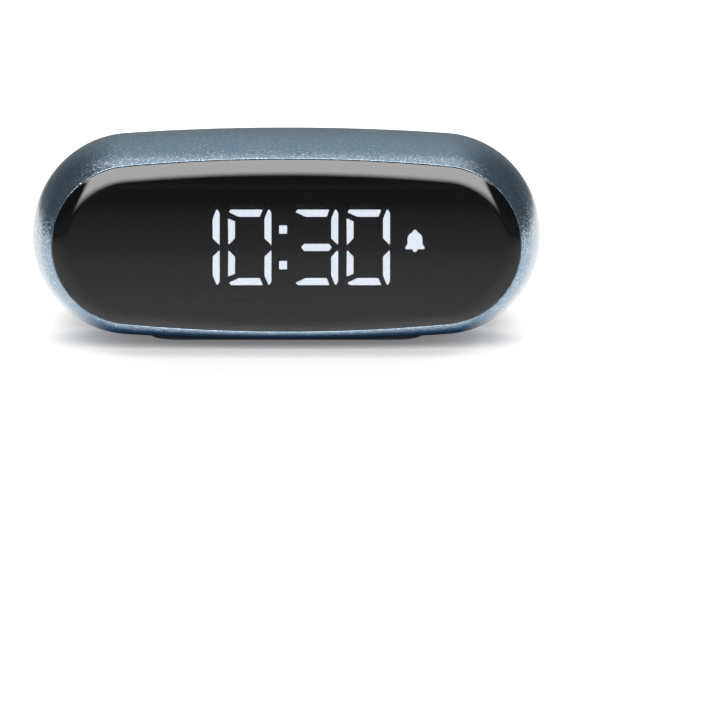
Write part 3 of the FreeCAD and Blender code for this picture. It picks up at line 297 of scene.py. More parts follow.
class Skin:
    """Collects the faces of one piece and makes its object."""

    def __init__(self) -> None:
        """Starts with no faces."""
        self.mesh = bmesh.new()
        self.finish = 0

    def verts(self, places: Iterable[Vector]) -> Ring:
        """Vertices at places in metres."""
        return [self.mesh.verts.new(place) for place in places]

    def ring(self, points: Iterable[Flat], depth: float) -> Ring:
        """Vertices along an outline at one depth."""
        return self.verts(spot(across, depth, up) for across, up in points)

    def rings(self, outline: Outline, profile: Iterable[Flat]) -> list[Ring]:
        """Rings of one outline, each by how far it grows outwards and its depth."""
        return [self.ring(outline.points(grow), depth) for grow, depth in profile]

    def face(self, verts: Sequence[bmesh.types.BMVert]) -> None:
        """Adds one face in the current finish."""
        made = self.mesh.faces.new(verts)
        made.material_index = self.finish

    def bridge(self, *rings: Ring) -> None:
        """Joins each ring to the next one, which has as many points, with quads."""
        for first, second in zip(rings, rings[1:]):
            for number, start in enumerate(first):
                after = (number + 1) % len(first)
                self.face((start, first[after], second[after], second[number]))

    def loft(self, outline: Outline, profile: Sequence[Flat], closed: bool = True) -> None:
        """Skins rings of one outline.

        Args:
            outline: the outline that every ring follows.
            profile: for each ring how far it grows outwards and its depth.
            closed: closes the first and the last ring with a face.
        """
        rings = self.rings(outline, profile)
        self.bridge(*rings)
        if closed:
            self.face(rings[0])
            self.face(rings[-1])

    def fill(self, outer: Sequence[Flat], holes: Sequence[Sequence[Flat]], depth: float) -> None:
        """Flat face between an outer outline and its holes.

        Args:
            outer: points of the outer outline.
            holes: points of each hole.
            depth: depth of the face.
        """
        loops = [outer, *holes]
        points = [Vector(point) for loop in loops for point in loop]
        edges = []
        for loop in loops:
            start = len(edges)
            edges += [(start + n, start + (n + 1) % len(loop)) for n in range(len(loop))]
        placed, _, faces, *_ = delaunay_2d_cdt(points, edges, [], 1, MERGE)
        verts = self.ring([tuple(point) for point in placed], depth)
        for triangle in faces:
            middle = sum((placed[n] for n in triangle), Vector((0.0, 0.0))) / len(triangle)
            if not any(inside(middle, hole) for hole in holes):
                self.face([verts[n] for n in triangle])

    def to_object(self, name: str, *finishes: bpy.types.Material) -> bpy.types.Object:
        """Merges and closes the faces and makes the object.

        Args:
            name: name of the piece.
            finishes: its materials, in the order of the faces' finish numbers.

        Returns:
            The new object, at the origin, with its place in its mesh.
        """
        bmesh.ops.remove_doubles(self.mesh, verts=self.mesh.verts, dist=MERGE)
        bmesh.ops.dissolve_degenerate(self.mesh, edges=self.mesh.edges, dist=MERGE)
        bmesh.ops.recalc_face_normals(self.mesh, faces=self.mesh.faces)
        data = bpy.data.meshes.new(name)
        self.mesh.to_mesh(data)
        self.mesh.free()
        for material in finishes:
            data.materials.append(material)
        data.shade_smooth()
        data.set_sharp_from_angle(angle=SMOOTH_ANGLE)
        return new_object(name, data)


@dataclass(frozen=True)
class Post:
    """Round post with a chamfered end and a bore in it."""

    radius: float
    bore: float
    deep: float
    chamfer: float
    corner_points: int = 7

    def build(self, skin: Skin, place: Flat, root: float, end: float) -> None:
        """Adds the post to a piece.

        Args:
            skin: the mesh under construction.
            place: the post's place along X and its height.
            root: depth where it stands.
            end: depth of its free end.
        """
        way = math.copysign(1, end - root)
        wall = self.bore - self.radius
        skin.loft(disc(*place, self.radius, self.corner_points),
                  [(0, root), (0, end - way * self.chamfer), (-self.chamfer, end), (wall, end),
                   (wall, end - way * self.deep)])


# ---------------------------------------------------------------- node trees

MATH = "ShaderNodeMath"
RANGE = "ShaderNodeMapRange"
MIX = "ShaderNodeMix"
VECTOR = "ShaderNodeVectorMath"
SPLIT = "ShaderNodeSeparateXYZ"
JOIN = "ShaderNodeCombineXYZ"
SOFT = "SMOOTHSTEP"


def colour(code: str) -> Rgba:
    """Turns an sRGB hex colour into the linear one that the shaders take."""
    channels = []
    for start in (1, 3, 5):
        value = int(code[start:start + 2], 16) / 255
        curve = ((value + SRGB_OFFSET) / (1 + SRGB_OFFSET)) ** SRGB_POWER
        channels.append(value / SRGB_SLOPE if value <= SRGB_KNEE else curve)
    return (channels[0], channels[1], channels[2], 1.0)


@dataclass(frozen=True)
class Slope:
    """Change from low to high while another value goes from start to stop."""

    start: float
    stop: float
    low: float = 0.0
    high: float = 1.0

    def of(self, value: Source) -> dict[str, object]:
        """What a Map Range node takes to let a value follow the slope."""
        return {"Value": value, "From Min": self.start, "From Max": self.stop,
                "To Min": self.low, "To Max": self.high}


class NodeWork:
    """Node tree under construction."""

    def __init__(self, tree: bpy.types.NodeTree) -> None:
        """Starts on a tree and clears it."""
        self.tree = tree
        self.tree.nodes.clear()

    def give(self, node: bpy.types.Node, inputs: dict | Sequence) -> None:
        """Sets or links a node's inputs.

        Args:
            node: the node.
            inputs: values or outputs, by name or in order; a node stands for its first output.
        """
        for key, value in inputs.items() if isinstance(inputs, dict) else enumerate(inputs):
            source = value.outputs[0] if isinstance(value, bpy.types.Node) else value
            if isinstance(source, bpy.types.NodeSocket):
                self.tree.links.new(source, node.inputs[key])
            else:
                node.inputs[key].default_value = source

    def add(self, kind: str, inputs: dict | Sequence = (), **settings: object) -> bpy.types.Node:
        """Adds a node.

        Args:
            kind: type of the node.
            inputs: what its inputs take, as give has it.
            settings: properties of the node.

        Returns:
            The new node.
        """
        node = self.tree.nodes.new(kind)
        for key, value in settings.items():
            setattr(node, key, value)
        self.give(node, inputs)
        return node

    def overlap(self, *masks: Source | tuple[Source, Slope]) -> Source:
        """Multiplies masks.

        Args:
            masks: each a number, an output, or a value with the slope that it follows softly.

        Returns:
            What is left where all the masks overlap.
        """
        whole: Source | None = None
        for mask in masks:
            part = mask
            if isinstance(mask, tuple):
                value, slope = mask
                part = self.add(RANGE, slope.of(value), interpolation_type=SOFT)
            whole = part if whole is None else self.add(MATH, (whole, part), operation="MULTIPLY")
        return whole

    def blend(self, factor: Source, first: str | Rgba | Source,
              second: str | Rgba | Source) -> Source:
        """A colour between two, each a hex colour, a linear one or an output."""
        tones = [colour(tone) if isinstance(tone, str) else tone for tone in (first, second)]
        return self.add(MIX, {0: factor, 6: tones[0], 7: tones[1]}, data_type="RGBA").outputs[2]


class Shader(NodeWork):
    """Node tree of one material, with one Principled shader."""

    noise_middle: Flat = (0.3, 0.7)

    def __init__(self, name: str) -> None:
        """Makes the material."""
        self.material = bpy.data.materials.new(name)
        self.material.use_nodes = True
        super().__init__(self.material.node_tree)
        self.surface = self.add("ShaderNodeBsdfPrincipled")
        self.add("ShaderNodeOutputMaterial", {"Surface": self.surface})
        self.place = self.add("ShaderNodeTexCoord").outputs["Object"]

    def set(self, **values: object) -> None:
        """Sets or links the shader's inputs; an underscore stands for a space."""
        self.give(self.surface, {key.replace("_", " "): value for key, value in values.items()})

    def noise(self, grain: float, detail: float = 2.0, stretch: Spot = (1, 1, 1)) -> Source:
        """Soft noise whose lumps are about grain millimetres across."""
        mapping = self.add("ShaderNodeMapping", {"Vector": self.place, "Scale": stretch})
        return self.add("ShaderNodeTexNoise", {"Vector": mapping, "Scale": 1 / (grain * MM),
                                               "Detail": detail}).outputs["Fac"]

    def swing(self, value: Source, low: float = 0.0, high: float = 1.0) -> Source:
        """Maps the middle of a noise's range to low and high."""
        return self.add(RANGE, Slope(*self.noise_middle, low, high).of(value))

    def relief(self, height: Source, depth: float) -> Source:
        """Surface normal over a height field that is depth millimetres deep."""
        return self.add("ShaderNodeBump", {"Height": height, "Distance": depth * MM,
                                           "Strength": 1.0})


class MeshWork(NodeWork):
    """Geometry Nodes tree with a mesh going in and one coming out."""

    def __init__(self, name: str, inputs: dict[str, str] | None = None) -> None:
        """Makes the tree and its group input.

        Args:
            name: name of the tree.
            inputs: name and type of each input besides the mesh.
        """
        super().__init__(bpy.data.node_groups.new(name, "GeometryNodeTree"))
        face = self.tree.interface
        self.sockets = {
            title: face.new_socket(title, in_out="INPUT", socket_type="NodeSocket" + kind)
            for title, kind in {"Geometry": "Geometry", **(inputs or {})}.items()}
        face.new_socket("Geometry", in_out="OUTPUT", socket_type="NodeSocketGeometry")
        self.given = self.add("NodeGroupInput").outputs


# ---------------------------------------------------------------- finishes


@dataclass(frozen=True)
class Moulded:
    """Moulded or cast plastic, rubber or foam: a grain in its relief, tone and gloss."""

    name: str
    tone: str
    second_tone: str
    roughness: float
    grain: float
    depth: float
    gloss_swing: float = 0.06
    least_roughness: float = 0.02
    grain_detail: float = 3.0
    cloud: float = 14.0
    metallic: float = 0.0
    ior: float = 1.5
    stretch: Spot = (1, 1, 1)

    def build(self) -> bpy.types.Material:
        """Makes the material."""
        shader = Shader(self.name)
        grain = shader.noise(self.grain, self.grain_detail, self.stretch)
        cloud = shader.swing(shader.noise(self.grain * self.cloud))
        low = max(self.roughness - self.gloss_swing, self.least_roughness)
        shader.set(Base_Color=shader.blend(cloud, self.tone, self.second_tone), IOR=self.ior,
                   Roughness=shader.swing(grain, low, self.roughness + self.gloss_swing),
                   Metallic=self.metallic, Normal=shader.relief(grain, self.depth))
        return shader.material


@dataclass(frozen=True)
class FlakeLacquer:
    """Steel-blue two-coat lacquer: aluminium flakes that tilt at random under a clear coat."""

    name: str = "sprayed_flake_lacquer"
    tone: str = "#99B2C6"
    bright_tone: str = "#DDE9F2"
    flake: float = 0.19
    mean_tint: Spot = (0.5, 0.5, 0.5)
    tilt: float = 0.28
    share: float = 0.74
    metallic: float = 0.9
    roughness: float = 0.21
    coat_roughness: float = 0.09

    def build(self) -> bpy.types.Material:
        """Makes the material. Real flakes are a tenth as wide; these are as coarse as shows."""
        shader = Shader(self.name)
        tint = shader.add("ShaderNodeTexVoronoi", {
            "Vector": shader.place, "Scale": 1 / (self.flake * MM)}).outputs["Color"]
        normal: Source = shader.add("ShaderNodeNewGeometry").outputs["Normal"]
        lean = shader.add(VECTOR, (tint, self.mean_tint), operation="SUBTRACT")
        lean = shader.add(VECTOR, {0: lean, "Scale": self.tilt}, operation="SCALE")
        normal = shader.add(VECTOR, (normal, lean), operation="ADD")
        normal = shader.add(VECTOR, (normal,), operation="NORMALIZE")
        bright = shader.add(RANGE, Slope(self.share, 1.0).of(
            shader.add("ShaderNodeSeparateColor", {"Color": tint})))
        shader.set(Base_Color=shader.blend(bright, self.tone, self.bright_tone),
                   Metallic=self.metallic, Roughness=self.roughness, Normal=normal,
                   Coat_Weight=1.0, Coat_Roughness=self.coat_roughness)
        return shader.material


@dataclass(frozen=True)
class SmokedAcrylic:
    """Cast acrylic with a deep smoke tint under a polished hard coat, which doubles its gloss."""

    name: str = "hard_coated_smoked_acrylic"
    tone: str = "#616264"
    second_tone: str = "#5F6062"
    swirl: float = 2.5
    swirl_stretch: Spot = (1, 1, 3)
    roughness: float = 0.012
    ior: float = 1.49
    coat_ior: float = 1.6

    def build(self) -> bpy.types.Material:
        """Makes the material. A faint swirl of the polish shows only in its gloss."""
        shader = Shader(self.name)
        swirl = shader.noise(self.swirl, stretch=self.swirl_stretch)
        shader.set(Base_Color=shader.blend(swirl, self.tone, self.second_tone),
                   Roughness=shader.swing(swirl, 0.0, self.roughness), IOR=self.ior,
                   Transmission_Weight=1.0, Coat_Weight=1.0, Coat_Roughness=self.roughness,
                   Coat_IOR=self.coat_ior)
        return shader.material


@dataclass(frozen=True)
class LitEpoxy:
    """Milky cast epoxy with a white light behind it, in soft clouds."""

    name: str = "lit_milky_epoxy"
    tone: str = "#E6EEF6"
    second_tone: str = "#EDF2F8"
    cloud: float = 1.2
    strength: float = 8.8
    roughness: float = 0.35

    def build(self) -> bpy.types.Material:
        """Makes the material."""
        shader = Shader(self.name)
        cloud = shader.swing(shader.noise(self.cloud))
        glow = shader.blend(cloud, self.tone, self.second_tone)
        shader.set(Base_Color=glow, Emission_Color=glow, Emission_Strength=self.strength,
                   Roughness=self.roughness)
        return shader.material


@dataclass(frozen=True)
class Laminate:
    """Glass-cloth epoxy board under solder mask: the cloth's weave and copper tracks show."""

    name: str = "solder_masked_glass_laminate"
    tone: str = "#0E4A2C"
    track_tone: str = "#1C6B40"
    thread: float = 0.5
    threads_per_wave: float = 20.0
    waviness: float = 0.4
    weave_depth: float = 0.01
    track: float = 2.2
    track_width: float = 0.06
    roughness: float = 0.32
    coat: float = 0.4

    def build(self) -> bpy.types.Material:
        """Makes the material."""
        shader = Shader(self.name)
        wave = {"Vector": shader.place, "Distortion": self.waviness,
                "Scale": 1 / (self.thread * MM) / self.threads_per_wave}
        waves = [shader.add("ShaderNodeTexWave", wave, bands_direction=direction).outputs["Fac"]
                 for direction in ("X", "Z")]
        weave = shader.add(MATH, waves, operation="ADD")
        upright = shader.add("ShaderNodeMapping", {"Vector": shader.place,
                                                   "Rotation": (QUARTER, 0, 0)})
        tracks = shader.add("ShaderNodeTexBrick", {
            "Vector": upright, "Scale": 1 / (self.track * MM) / 2,
            "Mortar Size": self.track_width, "Color1": BLACK, "Color2": BLACK, "Mortar": WHITE})
        shader.set(Base_Color=shader.blend(tracks, self.tone, self.track_tone),
                   Roughness=self.roughness, Normal=shader.relief(weave, self.weave_depth),
                   Coat_Weight=self.coat)
        return shader.material


@dataclass(frozen=True)
class Metal:
    """Turned, drawn or plated metal with fine lines along one way."""

    name: str
    tone: str
    second_tone: str
    roughness: float
    grain: float = 0.15
    length: float = 14.0
    depth: float = 0.004
    gloss_swing: Flat = (-0.05, 0.08)
    # painted shade in a recess, in millimetres of depth: full at the first depth and deeper, none
    # from the second
    shaded_hollow: Flat | None = None
    hollow_shade_tone: str = "#3A3936"

    def build(self) -> bpy.types.Material:
        """Makes the material, with painted shade where it lies as deep as its hollow."""
        shader = Shader(self.name)
        lines = shader.noise(self.grain, stretch=(1, 1 / self.length, 1))
        tone = shader.blend(shader.swing(lines), self.tone, self.second_tone)
        # painted shade: the tone turns darker deeper down in the recess
        if self.shaded_hollow:
            depth = shader.add(SPLIT, (shader.place,)).outputs["Y"]
            unshaded = shader.add(RANGE, Slope(*(place * MM for place in self.shaded_hollow)).of(depth))
            tone = shader.blend(unshaded, self.hollow_shade_tone, tone)
        low, high = (self.roughness + swing for swing in self.gloss_swing)
        shader.set(Base_Color=tone, Metallic=1.0, Normal=shader.relief(lines, self.depth),
                   Roughness=shader.swing(lines, low, high))
        return shader.material


class Finishes:
    """Every material of the clock, made once."""

    def __init__(self) -> None:
        """Builds the materials."""
        self.lacquer = FlakeLacquer().build()
        self.lens = SmokedAcrylic().build()
        self.lit = LitEpoxy().build()
        self.laminate = Laminate().build()
        # spark-eroded tool: an even matt grain that breaks up every highlight
        self.panel = Moulded("spark_eroded_abs", "#1B1D21", "#212429", roughness=0.5, grain=0.16,
                             depth=0.018).build()
        # the shell's unpainted inside, which gives back hardly any light
        self.inner = Moulded("unpainted_black_abs", "#060607", "#08080A", roughness=0.7,
                             grain=0.3, depth=0.01, ior=1.4).build()
        # satin keys, finer and paler than the panel so that they stand out from it
        self.keys = Moulded("satin_abs", "#3A3E45", "#41464E", roughness=0.38, grain=0.22,
                            depth=0.006).build()
        # silicone from a blasted mould: pale and matt, with no highlight
        self.rubber = Moulded("moulded_silicone_rubber", "#A9ACB0", "#B3B6BA", roughness=0.75,
                              grain=0.12, depth=0.012, ior=1.41).build()
        # nylon: black with a soft, slightly uneven sheen
        self.black = Moulded("moulded_black_nylon", "#0D0D0E", "#121214", roughness=0.5,
                             grain=0.2, depth=0.006).build()
        # unlit bars: almost black, and glossier than the housing round them
        self.dark_window = Moulded("smoke_tinted_epoxy", "#0C0C0D", "#101011", roughness=0.3,
                                   grain=0.6, depth=0.002, ior=1.54).build()
        # chip bodies: filled epoxy with a fine dry grain
        self.chip = Moulded("moulded_chip_epoxy", "#141416", "#1B1B1D", roughness=0.55,
                            grain=0.09, depth=0.006).build()
        # foam tape: soft pits and no gloss at all
        self.foam = Moulded("closed_cell_foam", "#1C1C1E", "#262628", roughness=0.9, grain=0.25,
                            depth=0.06, ior=1.4).build()
        # lead insulation: smooth red with a soft gloss along the wire
        self.wire = Moulded("extruded_pvc", "#8E1A18", "#A2211D", roughness=0.35, grain=0.8,
                            depth=0.004).build()
        # flat cable: pale film whose printed conductors show as long streaks
        self.film = Moulded("printed_polyester_film", "#D9DDE2", "#8FA3B8", roughness=0.3,
                            grain=0.5, depth=0.003, stretch=(0.05, 0.05, 1)).build()
        # light pipe and light chips: whitish, frosted to spread the light
        self.clear = Moulded("frosted_polycarbonate", "#DDE2E4", "#EEF1F2", roughness=0.42,
                             grain=0.3, depth=0.003, ior=1.58).build()
        # printed marks: a thin dry layer of pale grey
        self.ink = Moulded("pad_printed_ink", "#C9CDD2", "#D6D9DD", roughness=0.55, grain=0.1,
                           depth=0.003).build()
        # pouch cell: silver film with shallow creases
        self.foil = Moulded("laminated_pouch_foil", "#B9BCC1", "#C8CBCF", roughness=0.3,
                            grain=1.6, depth=0.05, metallic=1.0).build()
        # nickel plating: bright and neutral, with fine drawing lines
        self.steel = Metal("nickel_plated_steel", "#B9BABD", "#C9CACC", roughness=0.28).build()
        # screw heads: the same plating, with painted shade down in the recess
        self.screw = Metal("nickel_plated_screw", "#B4B5B8", "#C4C5C8", roughness=0.3,
                           shaded_hollow=(14.9, 15.4)).build()
        # brass from the lathe: yellow, with turning lines that catch the light
        self.brass = Metal("turned_brass", "#C8A45C", "#D8B66E", roughness=0.3).build()
        # contacts: the smoothest of the metals
        self.gold = Metal("gold_plated_contacts", "#D9B457", "#E3C26B", roughness=0.22).build()


class Slot(Enum):
    """The record's material slots that match the new pieces."""

    CASE = "case_lacquer"
    LENS = "smoked_lens"
    PANEL = "panel_plastic"
    KEYS = "key_plastic"
    FOOT = "foot_rubber"
    STEEL = "steel"
    BLACK = "black_plastic"
    WINDOW = "segment_window"


class Body(Enum):
    """The moving bodies of the clock."""

    CASE = "case"
    CLOCK = "clock_button"
    ALARM = "alarm_button"
    MINUS = "minus_button"
    PLUS = "plus_button"
    SWITCH = "alarm_switch"


def place_piece(piece: bpy.types.Object, body: Body, slot: Slot, *nodes: str) -> None:
    """Lets a finished piece ride on its body in the place of CAD nodes.

    Args:
        piece: the finished object.
        body: the body it moves with.
        slot: the record's material slot; not used.
        nodes: the CAD nodes it stands for.
    """
    if nodes:
        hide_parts(*nodes)
    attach(piece, body.value)
    log.info("%s rides on %s, %d faces", piece.name, body.value, len(piece.data.polygons))


# ---------------------------------------------------------------- repeated rods


@dataclass(frozen=True)
class Rods:
    """Equal rods side by side, upright until they are turned, in millimetres."""

    count: int
    pitch: float
    length: float
    radius: float
    sides: int
    disc_radius: float = UNCLIPPED


class RodRow(MeshWork):
    """Geometry Nodes tree that lays equal rods side by side, clipped to a disc if wanted."""

    def __init__(self, material: bpy.types.Material) -> None:
        """Builds the tree.

        Args:
            material: finish of the rods.
        """
        super().__init__("rod_row", {
            "Count": "Int", "Pitch": "Float", "Length": "Float", "Radius": "Float",
            "Disc Radius": "Float", "Middle": "Vector", "Turn": "Vector", "Sides": "Int"})
        self.wire(material)

    def wire(self, material: bpy.types.Material) -> None:
        """Links the nodes: a row of points, a rod on each, and the whole turned into place."""
        add, given = self.add, self.given
        row = add("GeometryNodeMeshLine", {
            "Count": given["Count"], "Offset": add(JOIN, (given["Pitch"],))})
        gaps = add(MATH, (given["Count"], 1.0), operation="SUBTRACT")
        span = add(MATH, (gaps, given["Pitch"]), operation="MULTIPLY")
        start = add(JOIN, (add(MATH, (span, -0.5), operation="MULTIPLY"),))
        centred = add("GeometryNodeSetPosition", {"Geometry": row, "Offset": start})

        # a rod is as long as the disc's chord where it stands, and at most its length
        across = add(SPLIT, (add("GeometryNodeInputPosition"),)).outputs["X"]
        square = add(MATH, (across, across), operation="MULTIPLY")
        disc_square = add(MATH, (given["Disc Radius"],) * 2, operation="MULTIPLY")
        rest = add(MATH, (disc_square, square), operation="SUBTRACT")
        half_chord = add(MATH, (rest, 0.5), operation="POWER")
        chord = add(MATH, (half_chord, 2.0), operation="MULTIPLY")
        long = add(MATH, (chord, given["Length"]), operation="MINIMUM")
        size = add(JOIN, (1.0, 1.0, long))

        line = add("GeometryNodeCurvePrimitiveLine", {"Start": (0, 0, -0.5), "End": (0, 0, 0.5)})
        section = add("GeometryNodeCurvePrimitiveCircle", {
            "Resolution": given["Sides"], "Radius": given["Radius"]})
        rod = add("GeometryNodeCurveToMesh", {"Curve": line, "Profile Curve": section,
                                              "Fill Caps": True})
        rods = add("GeometryNodeInstanceOnPoints", {"Points": centred, "Instance": rod,
                                                    "Scale": size})
        moved = add("GeometryNodeTransform", {"Geometry": rods, "Translation": given["Middle"],
                                              "Rotation": given["Turn"]})
        real = add("GeometryNodeRealizeInstances", {"Geometry": moved})
        dressed = add("GeometryNodeSetMaterial", {"Geometry": real, "Material": material})
        add("NodeGroupOutput", (dressed,))

    def make(self, name: str, rods: Rods, middle: Sequence[float],
             turn: Spot = (0.0, 0.0, 0.0)) -> bpy.types.Object:
        """Runs the tree once.

        Args:
            name: name of the piece.
            rods: the row's sizes.
            middle: the row's middle, in metres.
            turn: its turn about each axis.

        Returns:
            A plain mesh object with the rods.
        """
        holder = new_object(name, bpy.data.meshes.new(name + "_seed"))
        modifier = holder.modifiers.new("rods", "NODES")
        modifier.node_group = self.tree
        values = {"Count": rods.count, "Sides": rods.sides, "Pitch": rods.pitch * MM,
                  "Length": rods.length * MM, "Radius": rods.radius * MM,
                  "Disc Radius": rods.disc_radius * MM, "Middle": middle, "Turn": turn}
        for title, value in values.items():
            modifier[self.sockets[title].identifier] = value
        graph = bpy.context.evaluated_depsgraph_get()
        data = bpy.data.meshes.new_from_object(holder.evaluated_get(graph), depsgraph=graph)
        holder.modifiers.clear()
        seed = holder.data
        holder.data = data
        data.name = name
        bpy.data.meshes.remove(seed)
        data.shade_smooth()
        data.set_sharp_from_angle(angle=SMOOTH_ANGLE)
        return holder


def merge(name: str, pieces: Sequence[bpy.types.Object]) -> bpy.types.Object:
    """Puts the meshes of several objects into one.

    Args:
        name: name of the piece.
        pieces: the objects, which go.

    Returns:
        The one object.
    """
    materials: list[bpy.types.Material] = []
    joined = bmesh.new()
    for piece in pieces:
        start = len(joined.faces)
        joined.from_mesh(piece.data)
        joined.faces.ensure_lookup_table()
        numbers = []
        for material in piece.data.materials:
            if material not in materials:
                materials.append(material)
            numbers.append(materials.index(material))
        for face in joined.faces[start:]:
            face.material_index = numbers[face.material_index]
    data = bpy.data.meshes.new(name)
    joined.to_mesh(data)
    joined.free()
    for material in materials:
        data.materials.append(material)
    for piece in pieces:
        bpy.data.objects.remove(piece)
    return new_object(name, data)


# ---------------------------------------------------------------- case


@dataclass
class Case:
    """The two lacquered halves of the case."""

    finishes: Finishes
    outline: Pill = LAYOUT.case
    opening: Pill = LAYOUT.opening
    opening_gap: float = 0.025
    barrel_radius: float = 43.0
    wall: float = 2.2
    rim_depth: float = 15.0
    seam_back: float = 8.0
    seam_edge: float = 0.14
    groove_share: float = 0.8
    lap_depth: float = 1.5
    lap_skin: float = 1.1
    lap_gap: float = 0.1
    seat_y: float = LAYOUT.seat_y
    flange_y: float = 11.9
    flange_reach: float = 5.0
    # the curve to the lip starts this far from the rim, and further where the rim is wide
    blend_start: float = 1.6
    blend_share: float = 1.7
    lip_round: float = 0.09
    # angle, in radians, that the lip's round turns past its crest to meet that curve
    crest: float = 0.87
    painted_lip: float = 0.6
    window: RoundBox = RoundBox(*LAYOUT.display, width=51.0, height=17.4, corner=0.2)
    post: Post = Post(radius=2.6, bore=1.52, deep=4.2, chamfer=0.2)
    boss: Post = Post(radius=1.8, bore=0.72, deep=3.6, chamfer=0.2)
    boss_places: Flat = (27.5, 10.9)
    boss_end: float = -7.55
    post_sunk: float = 0.3
    barrel_rings: int = 31
    lip_rings: int = 9
    front_wall_rings: int = 13
    rear_wall_rings: int = 7

    def inset(self, depth: float, thickness: float = 0.0) -> float:
        """How far the barrel wall lies inside the widest outline at a depth."""
        radius = self.barrel_radius - thickness
        return self.barrel_radius - math.sqrt(radius**2 - depth**2)

    def wall_profile(self, start: float, stop: float, count: int) -> list[Flat]:
        """Profile along the inside of the barrel wall between two depths."""
        return [(-self.inset(depth, self.wall), depth) for depth in steps(start, stop, count)]

    @staticmethod
    def moved_in(place: Sequence[float], normal: Sequence[float], inset: float,
                 depth: float) -> Vector:
        """A point moved in against its normal, at a depth, in millimetres over the floor."""
        return Vector((place[0] - normal[0] * inset, depth, place[1] - normal[1] * inset + LIFT))

    def barrel_ring(self, skin: Skin, depths: Sequence[float]) -> Ring:
        """Ring on the barrel's outside, with a depth of its own for each point."""
        return skin.verts(self.moved_in(place, normal, self.inset(depth), depth) * MM
                          for (place, normal, _), depth in zip(self.outline.places(), depths))

    def opening_ring(self, skin: Skin, depth: float, grow: float = 0.0) -> Ring:
        """Ring round the opening, wider by grow, at one depth."""
        return skin.ring(self.opening.points(self.opening_gap + grow), depth)

    def shell_skin(self, skin: Skin, way: int) -> tuple[Ring, Ring]:
        """Skins the outside from the seam over the rim into the opening.

        Near the rim the barrel leans in further, until it meets the opening in a sharp lip.

        Args:
            skin: the mesh under construction.
            way: -1 for the display side, +1 for the rear.

        Returns:
            The first ring, at the seam, and the last one, in the opening.
        """
        rim = way * self.rim_depth
        edge = self.opening.points(self.opening_gap)
        corner = self.outline.points(-self.inset(rim))
        widths = [math.dist(inner, outer) for inner, outer in zip(edge, corner)]
        starts = [rim - way * (self.blend_start + self.blend_share * width) for width in widths]
        seam = self.seam_back + way * self.seam_edge
        groove = -self.inset(self.seam_back) - self.seam_edge * self.groove_share
        rings = [skin.ring(self.outline.points(groove), self.seam_back)]
        for share in steps(0.0, 1.0, self.barrel_rings):
            depths = [seam + (start - seam) * share for start in starts]
            rings.append(self.barrel_ring(skin, depths))
        tip = rim - way * self.lip_round * (1 - math.cos(self.crest))
        lean = [self.bend(place, normal, start, target, tip)
                for (place, normal, _), start, target in zip(self.outline.places(), starts, edge)]
        for share in steps(0.0, 1.0, self.lip_rings)[1:]:
            rings.append(skin.verts(curved(*bend, share) * MM for bend in lean))
        for turn in steps(-self.crest, QUARTER, self.lip_rings)[1:]:
            rings.append(self.opening_ring(skin,
                                           rim - way * self.lip_round * (1 - math.cos(turn)),
                                           self.lip_round * (1 - math.sin(turn))))
        rings.append(self.opening_ring(skin, rim - way * self.painted_lip))
        skin.bridge(*rings)
        return rings[0], rings[-1]

    def bend(self, place: Flat, normal: Flat, start: float, target: Flat,
             tip: float) -> tuple[Vector, Vector, Vector]:
        """Control points of the curve from the barrel to the lip.

        Args:
            place: point of the widest outline.
            normal: outward normal there.
            start: depth where the curve leaves the barrel.
            target: point of the opening's edge.
            tip: depth where the curve meets the lip's round.

        Returns:
            The curve's start, its control point and its end, in millimetres.
        """
        slope = start / math.sqrt(self.barrel_radius**2 - start**2)
        middle = (start + tip) / 2
        inset = self.inset(start)
        near = inset + slope * (middle - start)
        inward = (Vector(target) - Vector(place)).normalized()
        reach = self.lip_round * (1 + math.sin(self.crest))
        return (self.moved_in(place, normal, inset, start),
                self.moved_in(place, normal, near, middle),
                self.moved_in(target, inward, reach, tip))

    def window_ring(self, skin: Skin, depth: float) -> Ring:
        """Ring round the display window with as many points as the case's outline."""
        left = self.window.across - self.window.width / 2
        right = self.window.across + self.window.width / 2
        low = self.window.up - self.window.height / 2
        high = self.window.up + self.window.height / 2
        points = [(min(max(across, left), right), min(max(up, low), high))
                  for across, up in self.outline.points(-self.flange_reach)]
        return skin.ring(points, depth)

    def front(self) -> None:
        """Builds the front half with its lens seat, posts and bosses."""
        skin = Skin()
        at_seam, in_opening = self.shell_skin(skin, -1)

        skin.finish = 1
        lap = -self.inset(self.seam_back) - self.lap_skin
        lap_y = self.seam_back - self.lap_depth
        profile = [(lap, self.seam_back), (lap, lap_y),
                   *self.wall_profile(lap_y, -self.flange_y, self.front_wall_rings),
                   (-self.flange_reach, -self.flange_y)]
        skin.bridge(at_seam, *skin.rings(self.outline, profile),
                    self.window_ring(skin, -self.flange_y), self.window_ring(skin, -self.seat_y),
                    self.opening_ring(skin, -self.seat_y), in_opening)

        root = self.post_sunk - self.seat_y
        for side in (1, -1):
            self.post.build(skin, (LAYOUT.screw_x * side, 0.0), root, self.seat_y)
            for level in (1, -1):
                place = (self.boss_places[0] * side, self.boss_places[1] * level)
                self.boss.build(skin, place, root, self.boss_end)
        piece = skin.to_object("front_case", self.finishes.lacquer, self.finishes.inner)
        place_piece(piece, Body.CASE, Slot.CASE, "front_shell")

    def rear(self) -> None:
        """Builds the rear half with its tongue and the panel's seat."""
        skin = Skin()
        at_seam, in_opening = self.shell_skin(skin, 1)

        skin.finish = 1
        tongue = -self.inset(self.seam_back) - self.lap_skin - self.lap_gap
        tongue_y = self.seam_back - self.lap_depth + self.lap_gap
        profile = [(-self.flange_reach, self.seat_y), (-self.flange_reach, self.flange_y),
                   *self.wall_profile(self.flange_y, tongue_y, self.rear_wall_rings),
                   (tongue, tongue_y), (tongue, self.seam_back)]
        skin.bridge(in_opening, self.opening_ring(skin, self.seat_y),
                    *skin.rings(self.outline, profile), at_seam)
        piece = skin.to_object("rear_case", self.finishes.lacquer, self.finishes.inner)
        place_piece(piece, Body.CASE, Slot.CASE, "rear_shell")

